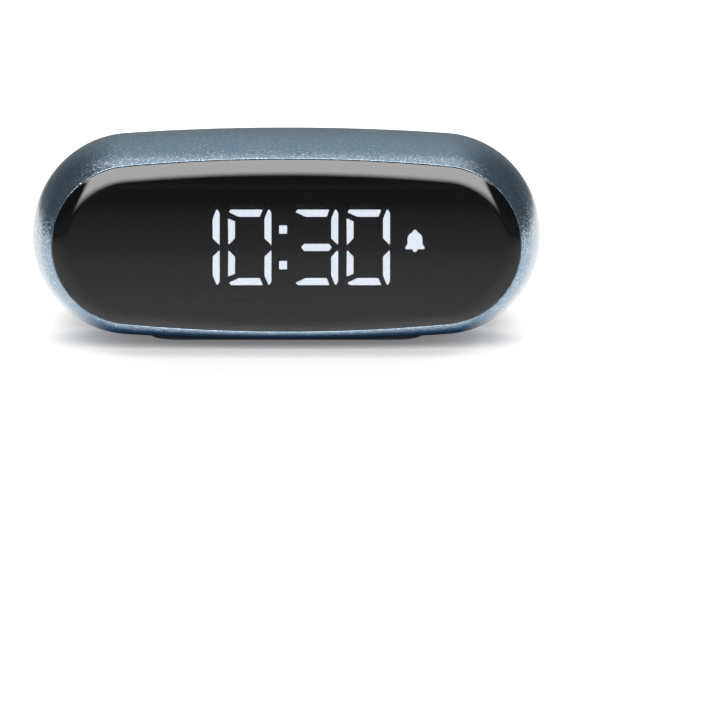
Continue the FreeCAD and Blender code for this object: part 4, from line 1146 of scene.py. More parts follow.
    def build(self) -> None:
        """Builds both halves."""
        self.front()
        self.rear()


@dataclass
class Lens:
    """Smoked lens: domed from top to bottom, rolled over at its edge."""

    finishes: Finishes
    outline: Pill = replace(LAYOUT.opening, end_points=61, crown_points=61)
    front_y: float = -16.5
    back_y: float = -13.55
    dome_radius: float = 150.0
    roll_width: float = 2.75
    roll_radius: float = 4.6
    edge_round: float = 0.12
    edge_steps: tuple[Flat, ...] = ((0.0, 0.8), (0.35, 0.25))
    roll_rings: int = 22
    dome_margin: float = 0.4
    dome_rings: int = 16

    def depth(self, inset: float, up: float) -> float:
        """Depth of the front face at a distance from the edge and a height."""
        sag = self.dome_radius - math.sqrt(self.dome_radius**2 - up**2)
        short = max(self.roll_width - inset, 0.0)
        roll = self.roll_radius - math.sqrt(self.roll_radius**2 - short**2)
        return self.front_y + sag + roll

    def face_ring(self, skin: Skin, points: Iterable[Flat], inset: float,
                  drop: float = 0.0) -> Ring:
        """Ring on the front face, at a distance from the edge, or below the face by a drop."""
        return skin.verts(spot(across, self.depth(inset, up) + drop, up) for across, up in points)

    def build(self) -> None:
        """Builds the lens."""
        skin = Skin()
        edge = self.edge_round
        start = self.roll_width + self.dome_margin
        rings = skin.rings(self.outline, ((-edge, self.back_y), (0.0, self.back_y - edge)))
        skin.face(rings[0])
        for share, drop in self.edge_steps:
            points = self.outline.points(-edge * share)
            rings.append(self.face_ring(skin, points, edge, edge * drop))
        for inset in steps(edge, start, self.roll_rings):
            rings.append(self.face_ring(skin, self.outline.points(-inset), inset))
        for share in steps(0.0, 1.0, self.dome_rings)[1:]:
            points = []
            for place, normal, axis in self.outline.places():
                near = (place[0] - normal[0] * start, place[1] - normal[1] * start)
                points.append((near[0] + (axis[0] - near[0]) * share, near[1] * (1 - share)))
            rings.append(self.face_ring(skin, points, start))
        skin.bridge(*rings)
        piece = skin.to_object("lens", self.finishes.lens)
        place_piece(piece, Body.CASE, Slot.LENS, "front_lens")


@dataclass
class Display:
    """The lit bars and dots of the time, cast in milky epoxy with crisp corners."""

    finishes: Finishes
    middle: Flat = LAYOUT.display
    height: float = 12.7
    width: float = 7.3
    pitch: float = 8.72
    inner: float = 5.62
    stroke: float = 1.16
    gap: float = 0.26
    end_gaps: float = 1.5
    corner_cut: float = 0.3
    top_lead: float = 0.1
    top_fall: float = 0.12
    steep: float = 0.62
    flat_steep: float = 0.5
    gentle: float = 1.69
    left_fall: float = 0.48
    left_tip: float = 0.05
    right_fall: float = 0.2
    right_shoulder: float = 0.66
    right_tip: float = 0.08
    point_rise: float = 1.16
    bar_inset: float = 1.09
    corner_round: float = 0.07
    dot: float = 1.34
    dot_rise: float = 3.0
    dot_corner: float = 0.1
    dot_points: int = 4
    lit: tuple[str, ...] = ("bc", "abcdef", "abcdg", "abcdef")

    def bar(self, letter: str) -> list[Flat]:
        """Corners of one bar of a digit, to the right and down from its upper left corner."""
        half, gap, stroke_width = self.height / 2, self.gap, self.stroke
        inner = self.width - stroke_width
        end = half - gap * self.end_gaps
        if letter == "g":
            near = self.bar_inset + self.flat_steep
            top, low = half - stroke_width / 2, half + stroke_width / 2
            return [(self.bar_inset, half), (near, top), (self.width - near, top),
                    (self.width - self.bar_inset, half), (self.width - near, low), (near, low)]
        upper = {
            "a": [(gap / 2 + self.corner_cut + self.top_lead, 0), (inner - gap, 0),
                  (inner - gap - self.flat_steep, stroke_width),
                  (gap / 2 + self.gentle, stroke_width),
                  (gap / 2, self.corner_cut + self.top_fall)],
            "f": [(0, stroke_width + gap), (stroke_width, stroke_width + gap + self.left_fall),
                  (stroke_width, end - self.point_rise), (self.left_tip, end)],
            "b": [(inner, stroke_width + gap + self.right_fall), (inner + self.steep, gap / 2),
                  (self.width - self.corner_cut, gap / 4), (self.width, self.right_shoulder),
                  (self.width, end), (self.width - self.right_tip, end),
                  (inner, end - self.point_rise)],
        }
        twin = {"d": "a", "e": "f", "c": "b"}.get(letter)
        if twin:
            return [(across, self.height - down) for across, down in upper[twin]]
        return upper[letter]

    def outlines(self) -> list[Outline]:
        """Outline of every lit bar and dot."""
        found: list[Outline] = []
        outer = self.inner + self.pitch
        for place, letters in zip((-outer, -self.inner, self.inner, outer), self.lit):
            left = self.middle[0] + place - self.width / 2
            top = self.middle[1] + self.height / 2
            for letter in letters:
                corners = [(left + across, top - down) for across, down in self.bar(letter)]
                found.append(Polygon(tuple(softened(corners, self.corner_round))))
        for side in (1, -1):
            found.append(RoundBox(self.middle[0], self.middle[1] + side * self.dot_rise,
                                  self.dot, self.dot, self.dot_corner, self.dot_points))
        return found

    def build(self) -> None:
        """Builds the bars and the two dots."""
        depths = [corner[1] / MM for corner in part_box("lit_segments")]
        skin = Skin()
        for shape in self.outlines():
            skin.loft(shape, [(0.0, max(depths)), (0.0, min(depths))])
        piece = skin.to_object("lit_bars", self.finishes.lit)
        place_piece(piece, Body.CASE, Slot.WINDOW, "lit_segments", "colon_dots")


@dataclass
class Foot:
    """Rubber strip let into the underside, with grip ribs across it."""

    finishes: Finishes
    middle_y: float = 1.3
    length: float = 46.0
    width: float = 9.4
    top_z: float = 1.4
    sunk: float = 0.12
    edge: tuple[Flat, ...] = ((-0.25, 0.0), (-0.07, 0.06), (0.0, 0.2))
    ribs: Rods = Rods(count=35, pitch=1.05, length=7.6, radius=0.28, sides=16)

    def build(self) -> None:
        """Builds the strip and its ribs."""
        skin = Skin()
        outline = capsule(0.0, self.middle_y, self.length, self.width)
        profile = [(grow, self.sunk + rise) for grow, rise in self.edge] + [(0.0, self.top_z)]
        rings = [skin.verts(Vector((x, y, height)) * MM for x, y in outline.points(grow))
                 for grow, height in profile]
        skin.face(rings[0])
        skin.face(rings[-1])
        skin.bridge(*rings)
        strip = skin.to_object("foot_strip", self.finishes.rubber)
        ribs = RodRow(self.finishes.rubber).make(
            "foot_ribs", self.ribs, (0.0, self.middle_y * MM, self.ribs.radius * MM),
            (QUARTER, 0.0, 0.0))
        place_piece(merge("foot", [strip, ribs]), Body.CASE, Slot.FOOT, "foot_pad")


# ---------------------------------------------------------------- rear


@dataclass(frozen=True)
class Hole:
    """Opening in the rear panel: its outline, and how its wall steps inwards."""

    outline: RoundBox
    wall: tuple[Flat, ...] = ((0.0, LAYOUT.seat_y),)


@dataclass
class RearPanel:
    """Black plate that closes the rear, with its openings."""

    finishes: Finishes
    outline: Pill = LAYOUT.opening
    seat_y: float = LAYOUT.seat_y
    face_y: float = LAYOUT.panel_y
    edge: float = 0.45
    edge_rings: int = 7
    hole_edge: float = 0.14
    key_size: Flat = (6.9, 3.9)
    port_size: Flat = (9.34, 3.66)
    slide_size: Flat = (5.5, 2.7)
    slide_corner: float = 0.3
    light_radius: float = 0.95
    sound_ring: float = 1.9
    sound_radius: float = 0.5
    sound_count: int = 6
    sound_points: int = 6
    head_radius: float = 2.1
    screw_radius: float = 1.12
    head_depth: float = 1.25
    boss: Post = Post(radius=1.8, bore=0.72, deep=3.6, chamfer=0.15)
    boss_places: Flat = (26.5, 8.2)
    boss_sunk: float = 0.3
    boss_end: float = 7.0

    def holes(self) -> list[Hole]:
        """Every opening of the plate."""
        at = LAYOUT
        shapes = [capsule(across, at.key_z, *self.key_size) for across in at.key_x]
        shapes.append(capsule(0.0, at.port_z, *self.port_size))
        shapes.append(RoundBox(at.slide_x, at.port_z, *self.slide_size, self.slide_corner))
        shapes.append(disc(0.0, at.light_z, self.light_radius))
        shapes.append(disc(*at.sound, self.sound_radius, self.sound_points))
        for number in range(self.sound_count):
            turn = math.tau * number / self.sound_count
            shapes.append(disc(at.sound[0] + self.sound_ring * math.cos(turn),
                               at.sound[1] + self.sound_ring * math.sin(turn),
                               self.sound_radius, self.sound_points))
        found = [Hole(shape) for shape in shapes]
        step = self.screw_radius - self.head_radius
        floor = self.face_y - self.head_depth
        for side in (1, -1):
            found.append(Hole(disc(at.screw_x * side, 0.0, self.head_radius),
                              ((0.0, floor), (step, floor), (step, self.seat_y))))
        return found

    def build(self) -> None:
        """Builds the plate with its openings and bosses."""
        skin = Skin()
        rim = rounding(self.edge, self.face_y, 1, self.edge_rings)
        skin.loft(self.outline, [*rim, (0.0, self.seat_y)], closed=False)
        opened, closed = [], []
        for hole in self.holes():
            edge = [(-grow, depth) for grow, depth in rounding(self.hole_edge, self.face_y, 1)]
            skin.loft(hole.outline, [*edge, *hole.wall], closed=False)
            opened.append(hole.outline.points(self.hole_edge))
            closed.append(hole.outline.points(hole.wall[-1][0]))
        skin.fill(self.outline.points(-self.edge), opened, self.face_y)
        skin.fill(self.outline.points(0.0), closed, self.seat_y)
        for side in (1, -1):
            for level in (1, -1):
                place = (self.boss_places[0] * side, self.boss_places[1] * level)
                self.boss.build(skin, place, self.seat_y + self.boss_sunk, self.boss_end)
        piece = skin.to_object("back_panel", self.finishes.panel)
        place_piece(piece, Body.CASE, Slot.PANEL, "rear_panel")


@dataclass
class Marks:
    """Plain symbols printed on the rear panel by the keys, the switch and the light.

    A line is given by its two ends, each across and up from its symbol's middle.
    """

    finishes: Finishes
    face_y: float = LAYOUT.panel_y
    proud: float = 0.012
    key_mark_z: float = 10.3
    dial: float = 1.05
    dial_line: float = 0.2
    hands: tuple[Line, ...] = (((0.0, 0.0), (0.0, 0.62)), ((0.0, 0.0), (-0.45, -0.2)))
    key_bell: float = 0.62
    sign_line: float = 0.26
    minus: tuple[Line, ...] = (((-0.75, 0.0), (0.75, 0.0)),)
    plus: tuple[Line, ...] = (((-0.75, 0.0), (0.75, 0.0)), ((0.0, 0.25), (0.0, 0.75)),
                              ((0.0, -0.75), (0.0, -0.25)))
    switch_drop: float = 3.1
    switch_bell: float = 0.5
    switch_reach: float = 2.4
    slash: tuple[Line, ...] = (((1.5, -1.0), (3.3, 1.0)),)
    slash_line: float = 0.18
    bolt_across: float = -2.9
    bolt_scale: float = 0.9
    bolt: tuple[Flat, ...] = ((0.16, 1.0), (-0.62, -0.12), (-0.1, -0.12), (-0.16, -1.0),
                              (0.62, 0.14), (0.1, 0.14))
    half_bell: tuple[Flat, ...] = ((1.42, -1.4), (1.6, -1.24), (1.56, -1.02), (1.25, -0.45),
                                   (1.25, 0.32), (1.16, 0.74), (0.92, 1.08), (0.42, 1.46),
                                   (0.3, 1.74))
    clapper: Flat = (-1.72, 0.3)
    clapper_points: int = 5

    def lay(self, skin: Skin, outline: Outline) -> None:
        """Lays ink over an outline."""
        skin.loft(outline, [(0.0, self.face_y - self.proud), (0.0, self.face_y + self.proud)])

    def lay_lines(self, skin: Skin, middle: Flat, lines: Sequence[Line], width: float) -> None:
        """Lays ink in lines about a symbol's middle."""
        for line in lines:
            start, stop = ((middle[0] + across, middle[1] + up) for across, up in line)
            self.lay(skin, stroke(start, stop, width))

    def lay_ring(self, skin: Skin, middle: Flat) -> None:
        """Lays ink in a ring."""
        low, high = self.face_y - self.proud, self.face_y + self.proud
        rings = skin.rings(disc(*middle, self.dial), (
            (0, low), (0, high), (-self.dial_line, high), (-self.dial_line, low)))
        skin.bridge(*rings, rings[0])

    def lay_bell(self, skin: Skin, middle: Flat, scale: float) -> None:
        """Lays ink in the shape of a hand bell."""
        across, up = middle
        corners = [*self.half_bell, *((-x, z) for x, z in reversed(self.half_bell))]
        self.lay(skin, Polygon(tuple((across + x * scale, up + z * scale) for x, z in corners)))
        drop, radius = (size * scale for size in self.clapper)
        self.lay(skin, disc(across, up + drop, radius, self.clapper_points))

    def build(self) -> None:
        """Prints the symbols."""
        skin = Skin()
        clock, alarm, minus, plus = ((across, self.key_mark_z) for across in LAYOUT.key_x)
        self.lay_ring(skin, clock)
        self.lay_lines(skin, clock, self.hands, self.dial_line)
        self.lay_bell(skin, alarm, self.key_bell)
        self.lay_lines(skin, minus, self.minus, self.sign_line)
        self.lay_lines(skin, plus, self.plus, self.sign_line)
        low = LAYOUT.port_z - self.switch_drop
        for reach in (-self.switch_reach, self.switch_reach):
            self.lay_bell(skin, (LAYOUT.slide_x + reach, low), self.switch_bell)
        self.lay_lines(skin, (LAYOUT.slide_x, low), self.slash, self.slash_line)
        self.lay(skin, Polygon(tuple((x * self.bolt_scale + self.bolt_across,
                                      z * self.bolt_scale + LAYOUT.light_z)
                                     for x, z in self.bolt)))
        piece = skin.to_object("panel_marks", self.finishes.ink)
        place_piece(piece, Body.CASE, Slot.PANEL)


@dataclass
class Keys:
    """Four push keys with shallow dished tops."""

    finishes: Finishes
    bodies: tuple[Body, ...] = (Body.CLOCK, Body.ALARM, Body.MINUS, Body.PLUS)
    names: tuple[str, ...] = ("clock", "alarm", "minus", "plus")
    width: float = 6.6
    height: float = 3.6
    top_y: float = 16.5
    edge: float = 0.4
    edge_rings: int = 7
    dish: float = 0.16
    dish_rings: int = 7
    dish_power: float = 1.5
    flange: float = 0.8
    flange_y: Flat = (12.6, 13.4)
    stem_radius: float = 1.4
    stem_y: float = 9.8

    def cap_profile(self) -> list[Flat]:
        """Growth and depth of each ring, from the flange to the middle of the dish."""
        low, high = self.flange_y
        found = [(self.flange, low), (self.flange, high), (0.0, high),
                 *reversed(rounding(self.edge, self.top_y, 1, self.edge_rings))]
        for share in steps(0.0, 1.0, self.dish_rings)[1:]:
            inset = self.edge + (self.height / 2 - self.edge) * share
            fall = self.dish * (1 - (1 - share) ** 2) ** self.dish_power
            found.append((-inset, self.top_y - fall))
        return found

    def build(self) -> None:
        """Builds each key on its own body."""
        for name, body, across in zip(self.names, self.bodies, LAYOUT.key_x):
            skin = Skin()
            cap = capsule(across, LAYOUT.key_z, self.width, self.height)
            stem = disc(across, LAYOUT.key_z, self.stem_radius)
            rings = skin.rings(stem, ((0.0, self.stem_y), (0.0, self.flange_y[0])))
            skin.face(rings[0])
            skin.bridge(*rings, *skin.rings(cap, self.cap_profile()))
            piece = skin.to_object(name + "_cap", self.finishes.keys)
            place_piece(piece, body, Slot.KEYS, name + "_key")


@dataclass
class SlideKnob:
    """Knob of the alarm switch: a flange behind the panel and a ribbed neck."""

    finishes: Finishes
    across: float = 19.0
    flange: Flat = (7.6, 4.4)
    flange_y: Flat = (12.45, 13.25)
    flange_corner: float = 0.4
    flange_edge: float = 0.1
    flange_points: int = 5
    neck: Flat = (3.2, 2.4)
    neck_y: Flat = (12.65, 16.05)
    neck_corner: float = 0.3
    neck_edge: float = 0.22
    neck_points: int = 6
    rib_top_y: float = 16.2
    ribs: Rods = Rods(count=3, pitch=0.9, length=2.1, radius=0.22, sides=16)

    def build(self) -> None:
        """Builds the knob and its ribs."""
        skin = Skin()
        place = (self.across, LAYOUT.port_z)
        low, high = self.flange_y
        edge = self.flange_edge
        skin.loft(RoundBox(*place, *self.flange, self.flange_corner, self.flange_points),
                  [(-edge, low), (0, low + edge), (0, high - edge), (-edge, high)])
        root, top = self.neck_y
        skin.loft(RoundBox(*place, *self.neck, self.neck_corner, self.neck_points),
                  [(0, root), *reversed(rounding(self.neck_edge, top, 1))])
        body = skin.to_object("knob_body", self.finishes.keys)
        ribs = RodRow(self.finishes.keys).make(
            "knob_ribs", self.ribs,
            spot(self.across, self.rib_top_y - self.ribs.radius, LAYOUT.port_z))
        place_piece(merge("slide_cap", [body, ribs]), Body.SWITCH, Slot.KEYS, "slide_knob")


@dataclass
class Port:
    """Charging socket: drawn shell, and a tongue with contacts on both faces."""

    finishes: Finishes
    width: float = 8.94
    height: float = 3.26
    wall: float = 0.3
    back_y: float = 7.0
    floor_y: float = 8.2
    mouth_y: float = 15.2
    mouth_rings: int = 9
    tongue: Flat = (6.7, 0.7)
    tongue_end: float = 14.7
    tongue_corner: float = 0.12
    tongue_edge: float = 0.1
    tongue_points: int = 4
    contacts: Rods = Rods(count=12, pitch=0.5, length=3.6, radius=0.12, sides=8)
    contact_back: float = 2.6
    contact_sunk: float = 0.8

    def build(self) -> None:
        """Builds the shell, and the tongue with its contacts."""
        skin = Skin()
        lip = self.wall / 2
        mouth = [(-lip * (1 - math.cos(turn)), self.mouth_y - lip * (1 - math.sin(turn)))
                 for turn in steps(0.0, math.pi, self.mouth_rings)]
        skin.loft(capsule(0.0, LAYOUT.port_z, self.width, self.height),
                  [(0, self.back_y), *mouth, (-self.wall, self.floor_y)])
        shell = skin.to_object("port_sleeve", self.finishes.steel)
        place_piece(shell, Body.CASE, Slot.STEEL, "port_shell")

        skin = Skin()
        tongue = RoundBox(0.0, LAYOUT.port_z, *self.tongue, self.tongue_corner,
                          self.tongue_points)
        edge = rounding(self.tongue_edge, self.tongue_end, 1, self.tongue_points)
        skin.loft(tongue, [(0, self.floor_y), *reversed(edge)])
        parts = [skin.to_object("tongue_body", self.finishes.black)]
        row = RodRow(self.finishes.gold)
        reach = tongue.height / 2 - self.contacts.radius * self.contact_sunk
        for level in (1, -1):
            middle = spot(0.0, self.tongue_end - self.contact_back,
                          LAYOUT.port_z + level * reach)
            parts.append(row.make("tongue_contacts", self.contacts, middle,
                                  (QUARTER, 0.0, 0.0)))
        place_piece(merge("port_contacts", parts), Body.CASE, Slot.BLACK, "port_tongue")


@dataclass
class SoundMesh:
    """Woven wire disc behind the sound holes."""

    finishes: Finishes
    radius: float = 3.2
    depths: Flat = (13.25, 13.4)
    wire: float = 0.035
    wire_sides: int = 6
    pitch: float = 0.16

    def build(self) -> None:
        """Builds both layers of wires."""
        row = RodRow(self.finishes.steel)
        wires = Rods(int(2 * self.radius / self.pitch) - 1, self.pitch, UNCLIPPED, self.wire,
                     self.wire_sides, self.radius)
        across, up = LAYOUT.sound
        middle_y = sum(self.depths) / 2
        layers = [row.make("mesh_layer", wires, spot(across, middle_y + side * self.wire, up),
                           (0.0, turn, 0.0))
                  for side, turn in ((-1, 0.0), (1, QUARTER))]
        place_piece(merge("sound_weave", layers), Body.CASE, Slot.STEEL, "sound_mesh")


# ---------------------------------------------------------------- CAD nodes that stay


@dataclass
class KeptNodes:
    """CAD nodes whose shape is right: each gets its finish and smooth round faces."""

    finishes: Finishes
    merge_within: float = 2e-6

    def table(self) -> dict[str, bpy.types.Material]:
        """The finish of every node that stays in view."""
        use = self.finishes
        return {
            "bell_symbol": use.lit, "unlit_segments": use.dark_window,
            "display_housing": use.inner, "light_chips": use.clear,
            "display_base": use.laminate, "display_pins": use.steel,
            "display_board": use.laminate, "display_board_screws": use.steel,
            "light_driver": use.chip, "control_board": use.laminate,
            "control_board_screws": use.steel, "microcontroller": use.chip,
            "clock_crystal": use.steel, "charge_controller": use.chip,
            "board_capacitors": use.chip, "battery_cell": use.foil, "battery_tape": use.foam,
            "battery_leads": use.wire, "battery_plug": use.black, "battery_socket": use.black,
            "ribbon_cable": use.film, "ribbon_sockets": use.black, "case_screws": use.screw,
            "threaded_inserts": use.brass, "clock_plunger": use.black,
            "alarm_plunger": use.black, "minus_plunger": use.black, "plus_plunger": use.black,
            "key_switches": use.black, "slide_switch_body": use.steel,
            "slide_switch_lever": use.black, "charge_light": use.clear,
            "charge_light_pipe": use.clear, "buzzer_case": use.black, "buzzer_coil": use.brass,
            "buzzer_diaphragm": use.steel, "buzzer_gasket": use.foam, "lens_tape": use.foam,
        }

    def smoother(self) -> bpy.types.GeometryNodeTree:
        """Tree that merges loose triangles and smooths all but the sharp edges.

        Returns:
            The node tree.
        """
        work = MeshWork("smooth_faces")
        angle = work.add("GeometryNodeInputMeshEdgeAngle").outputs["Unsigned Angle"]
        flat = work.add("FunctionNodeCompare", {"A": angle, "B": SMOOTH_ANGLE},
                        operation="LESS_THAN")
        weld = work.add("GeometryNodeMergeByDistance", {"Geometry": work.given["Geometry"],
                                                        "Distance": self.merge_within})
        faces = work.add("GeometryNodeSetShadeSmooth", (weld,))
        edges = work.add("GeometryNodeSetShadeSmooth", {0: faces, "Shade Smooth": flat},
                         domain="EDGE")
        work.add("NodeGroupOutput", (edges,))
        return work.tree

    def build(self) -> None:
        """Dresses the nodes."""
        tree = self.smoother()
        for name, material in self.table().items():
            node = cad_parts[name]
            for slot in node.material_slots:
                slot.link = "OBJECT"
                slot.material = material
            node.modifiers.new("smooth_faces", "NODES").node_group = tree
            log.info("%s keeps its solid in %s", name, material.name)


# ---------------------------------------------------------------- studio


def lay_flat(name: str, corners: Sequence[Flat], material: bpy.types.Material) -> bpy.types.Object:
    """Makes a flat sheet through corners in metres."""
    data = bpy.data.meshes.new(name)
    data.from_pydata([(x, y, 0) for x, y in corners], [], [tuple(range(len(corners)))])
    data.materials.append(material)
    return new_object(name, data)


def aim(thing: bpy.types.Object, azimuth: float, elevation: float, distance: float,
        look: int = -1) -> None:
    """Puts a camera, lamp or panel round the clock and turns it to face the clock.

    Args:
        thing: the object.
        azimuth: degrees round the clock, 0 in front of the display and 180 behind it.
        elevation: degrees above the clock's middle.
        distance: metres from the clock's middle.
        look: -1 where the object looks along its own -Z, +1 where along its +Z.
    """
    turn, rise = math.radians(azimuth), math.radians(elevation)
    back = Vector((math.sin(turn) * math.cos(rise), -math.cos(turn) * math.cos(rise),
                   math.sin(rise)))
    thing.location = Vector((0, 0, LIFT * MM)) + back * distance
    thing.rotation_euler = (back * -look).to_track_quat("Z", "Y").to_euler()


@dataclass(frozen=True)
class Softbox:
    """Lit cloth panel that faces the clock and fades towards its edges."""

    name: str
    azimuth: float
    elevation: float
    distance: float
    width: float
    height: float
    radiance: float
    side_fade: float
    low_fade: float
    high_fade: float
    flare: float
    rest: float

    def build(self) -> None:
        """Makes the panel, wider towards its top by its flare, and its light."""
        half_x, half_y = self.width / 2, self.height / 2
        shader = Shader(self.name)
        place = shader.add(SPLIT, (shader.place,)).outputs
        spread = shader.add(MATH, (place["Y"], self.flare / half_y, 1.0),
                            operation="MULTIPLY_ADD")
        across = shader.add(MATH, (place["X"], spread), operation="DIVIDE")
        light = shader.overlap(self.radiance,
                               (across, Slope(-half_x, self.side_fade - half_x)),
                               (across, Slope(half_x, half_x - self.side_fade)),
                               (place["Y"], Slope(-half_y, self.low_fade - half_y)),
                               (place["Y"], Slope(half_y, half_y - self.high_fade)))
        light = shader.add(MATH, (light, self.rest), operation="MAXIMUM")
        shader.set(Base_Color=BLACK, Specular_IOR_Level=0.0, Roughness=1.0, Emission_Color=WHITE,
                   Emission_Strength=light)
        low_x, high_x = half_x * (1 - self.flare), half_x * (1 + self.flare)
        corners = ((-low_x, -half_y), (low_x, -half_y), (high_x, half_y), (-high_x, half_y))
        panel = lay_flat(self.name, corners, shader.material)
        aim(panel, self.azimuth, self.elevation, self.distance, 1)


@dataclass(frozen=True)
class Floor:
    """White paper, which the camera sees in one way and the glossy case mirrors in another; both
    carry painted shade, and the mirrored one painted light.

    Every slope starts and stops at places in metres: along the depth, aside of the middle, away
    from it either way, or in line behind the case.
    """

    size: float = 6.0
    lift: float = 0.165
    # as the camera sees it: painted shade on the paper ahead of the case and along its flanks,
    # where the paper's glow is dimmed as well
    seen_paper: str = "#F7F4F1"
    shade: str = "#C8C6C4"
    shade_start: Slope = Slope(-0.007, -0.0155)
    shade_stop: Slope = Slope(-0.0155, -0.0265, 1.0, 0.0)
    shade_slant: float = -0.6
    shade_aside: Slope = Slope(0.034, 0.047, 1.0, 0.0)
    flank_start: Slope = Slope(0.005, 0.016)
    flank_stop: Slope = Slope(0.027, 0.041, 1.0, 0.0)
    flank_aside: Slope = Slope(0.0325, 0.042, 1.0, 0.0)
    flank_dimming: float = -0.4
    seen_away: Slope = Slope(0.05, 0.2, lift, 0.45)
    seen_aside: Slope = Slope(0.015, 0.055, lift, 0.4)
    # as the case mirrors it: painted shade, darker ahead of it, in line behind it and far away
    ahead: Slope = Slope(-0.25, 0.0)
    stops: tuple[tuple[float, str], ...] = (
        (0.0, "#1C1F24"), (0.42, "#393B3E"), (0.76, "#747474"), (0.88, "#989696"),
        (0.93, "#A4A2A2"), (0.965, "#F4F4F4"))
    dark: str = "#101010"
    dark_behind: Slope = Slope(0.09, 0.3, 0.0, 0.4)
    dark_away: Slope = Slope(0.12, 0.7, 0.0, 0.8)
    case_side: float = 0.043
    case_slant: float = 2.2
    # painted shade and bounce light under the case, in its own blue; beside it a painted strip
    # that glows white, the paper's brightest
    under: str = "#34739C"
    out_aside: Slope = Slope(0.029, 0.046)
    out_ahead: Slope = Slope(-0.0105, -0.0146)
    out_behind: Slope = Slope(0.0105, 0.034)
    beside_start: Slope = Slope(-0.0152, -0.0140)
    beside_behind: Slope = Slope(0.05, 0.25, 1.0, 0.0)
    beside_away: Slope = Slope(0.15, 0.8, 1.0, 0.1)
    glow_ahead: Slope = Slope(-0.7, -0.12, 0.38, 1.0)
    glow_along: Slope = Slope(0.012, 0.03, 0.05, 1.0)

    def seen(self, shader: Shader, depth: Source, aside: Source,
             away: Source) -> tuple[Source, Source]:
        """What the camera sees: the paper with painted shade round the case.

        Args:
            shader: the material under construction.
            depth: the place along Y.
            aside: the distance from the middle along X.
            away: the distance along X or Y, whichever is more.

        Returns:
            The paper's tone with its painted shade, and its glow.
        """
        slanted = shader.add(MATH, (depth, self.shade_slant, aside), operation="MULTIPLY_ADD")
        ahead = shader.overlap((depth, self.shade_start), (depth, self.shade_stop),
                               (slanted, self.shade_aside))
        flank = shader.overlap((depth, self.flank_start), (depth, self.flank_stop),
                               (aside, self.flank_aside))
        # painted shade: the paper's tone darkens ahead of the case and along its flanks
        shade = shader.add(MATH, (ahead, flank), operation="ADD")
        glow = shader.add(MATH, (shader.overlap((away, self.seen_away)),
                                 shader.overlap((aside, self.seen_aside))), operation="MAXIMUM")
        dimmed = shader.add(MATH, (flank, self.flank_dimming, 1.0), operation="MULTIPLY_ADD")
        return shader.blend(shade, self.seen_paper, self.shade), shader.overlap(glow, dimmed)

    def mirrored(self, shader: Shader, depth: Source, aside: Source,
                 away: Source) -> tuple[Source, Source]:
        """What shows in the glossy case: the paper with painted shade, painted bounce light and a
        painted glow.

        Args:
            shader: the material under construction.
            depth: the place along Y.
            aside: the distance from the middle along X.
            away: the distance along X or Y, whichever is more.

        Returns:
            The paper's tone with its painted shade and bounce light, and its painted glow.
        """
        # painted shade: the mirrored paper darkens ahead of the case
        ramp = shader.add("ShaderNodeValToRGB", (shader.add(RANGE, self.ahead.of(depth)),))
        elements = ramp.color_ramp.elements
        for share, _ in self.stops[1:-1]:
            elements.new(share)
        for element, (share, tone) in zip(elements, self.stops):
            element.position = share
            element.color = colour(tone)
        past = shader.add(MATH, (aside, self.case_side), operation="SUBTRACT")
        past = shader.add(MATH, (past, 0.0), operation="MAXIMUM")
        behind = shader.add(MATH, (depth, shader.overlap(past, self.case_slant)),
                            operation="SUBTRACT")
        outside = shader.add(MATH, (shader.overlap((depth, self.out_ahead)),
                                    shader.overlap((depth, self.out_behind))),
                             operation="MAXIMUM")
        outside = shader.add(MATH, (shader.overlap((aside, self.out_aside)), outside),
                             operation="MAXIMUM")
        covered = shader.add(MATH, (1.0, outside), operation="SUBTRACT")
        beside = shader.overlap((depth, self.beside_start), outside,
                                (behind, self.beside_behind), (away, self.beside_away))
        # painted shade: dark in line behind the case and far away
        tone = shader.blend(shader.overlap((behind, self.dark_behind)), ramp, self.dark)
        tone = shader.blend(shader.overlap((away, self.dark_away)), tone, self.dark)
        # painted shade and bounce light: the case's own blue on the paper under it
        tone = shader.blend(covered, tone, self.under)
        along = shader.add(MATH, (depth,), operation="ABSOLUTE")
        # painted glow that only reflections see, weaker far ahead and close along the case
        glow = shader.overlap((depth, self.glow_ahead), self.lift, (along, self.glow_along))
        # painted light: beside the case the paper turns black and glows white
        return (shader.blend(beside, tone, BLACK),
                shader.add(MIX, {0: beside, 2: glow, 3: 1.0}))

    def build(self) -> None:
        """Lays the floor."""
        shader = Shader("paper_floor")
        rays = shader.add("ShaderNodeLightPath").outputs
        mirrors = shader.add(MATH, (rays["Is Glossy Ray"], rays["Is Transmission Ray"]),
                             operation="ADD", use_clamp=True)
        place = shader.add(SPLIT, (shader.place,)).outputs
        aside = shader.add(MATH, (place["X"],), operation="ABSOLUTE")
        along = shader.add(MATH, (place["Y"],), operation="ABSOLUTE")
        away = shader.add(MATH, (aside, along), operation="MAXIMUM")
        seen_tone, seen_glow = self.seen(shader, place["Y"], aside, away)
        tone, glow = self.mirrored(shader, place["Y"], aside, away)
        # camera rays take the seen glow; glossy and transmission rays take the mirrored paper's
        # painted glow
        glow = shader.add(MIX, {0: rays["Is Camera Ray"], 2: shader.overlap(glow, mirrors),
                                3: seen_glow})
        shader.set(Base_Color=shader.blend(rays["Is Camera Ray"], tone, seen_tone),
                   Roughness=1.0, Specular_IOR_Level=0.0, Emission_Color=WHITE,
                   Emission_Strength=glow)
        size = self.size
        corners = ((-size, -size), (size, -size), (size, size), (-size, size))
        lay_flat("floor", corners, shader.material)


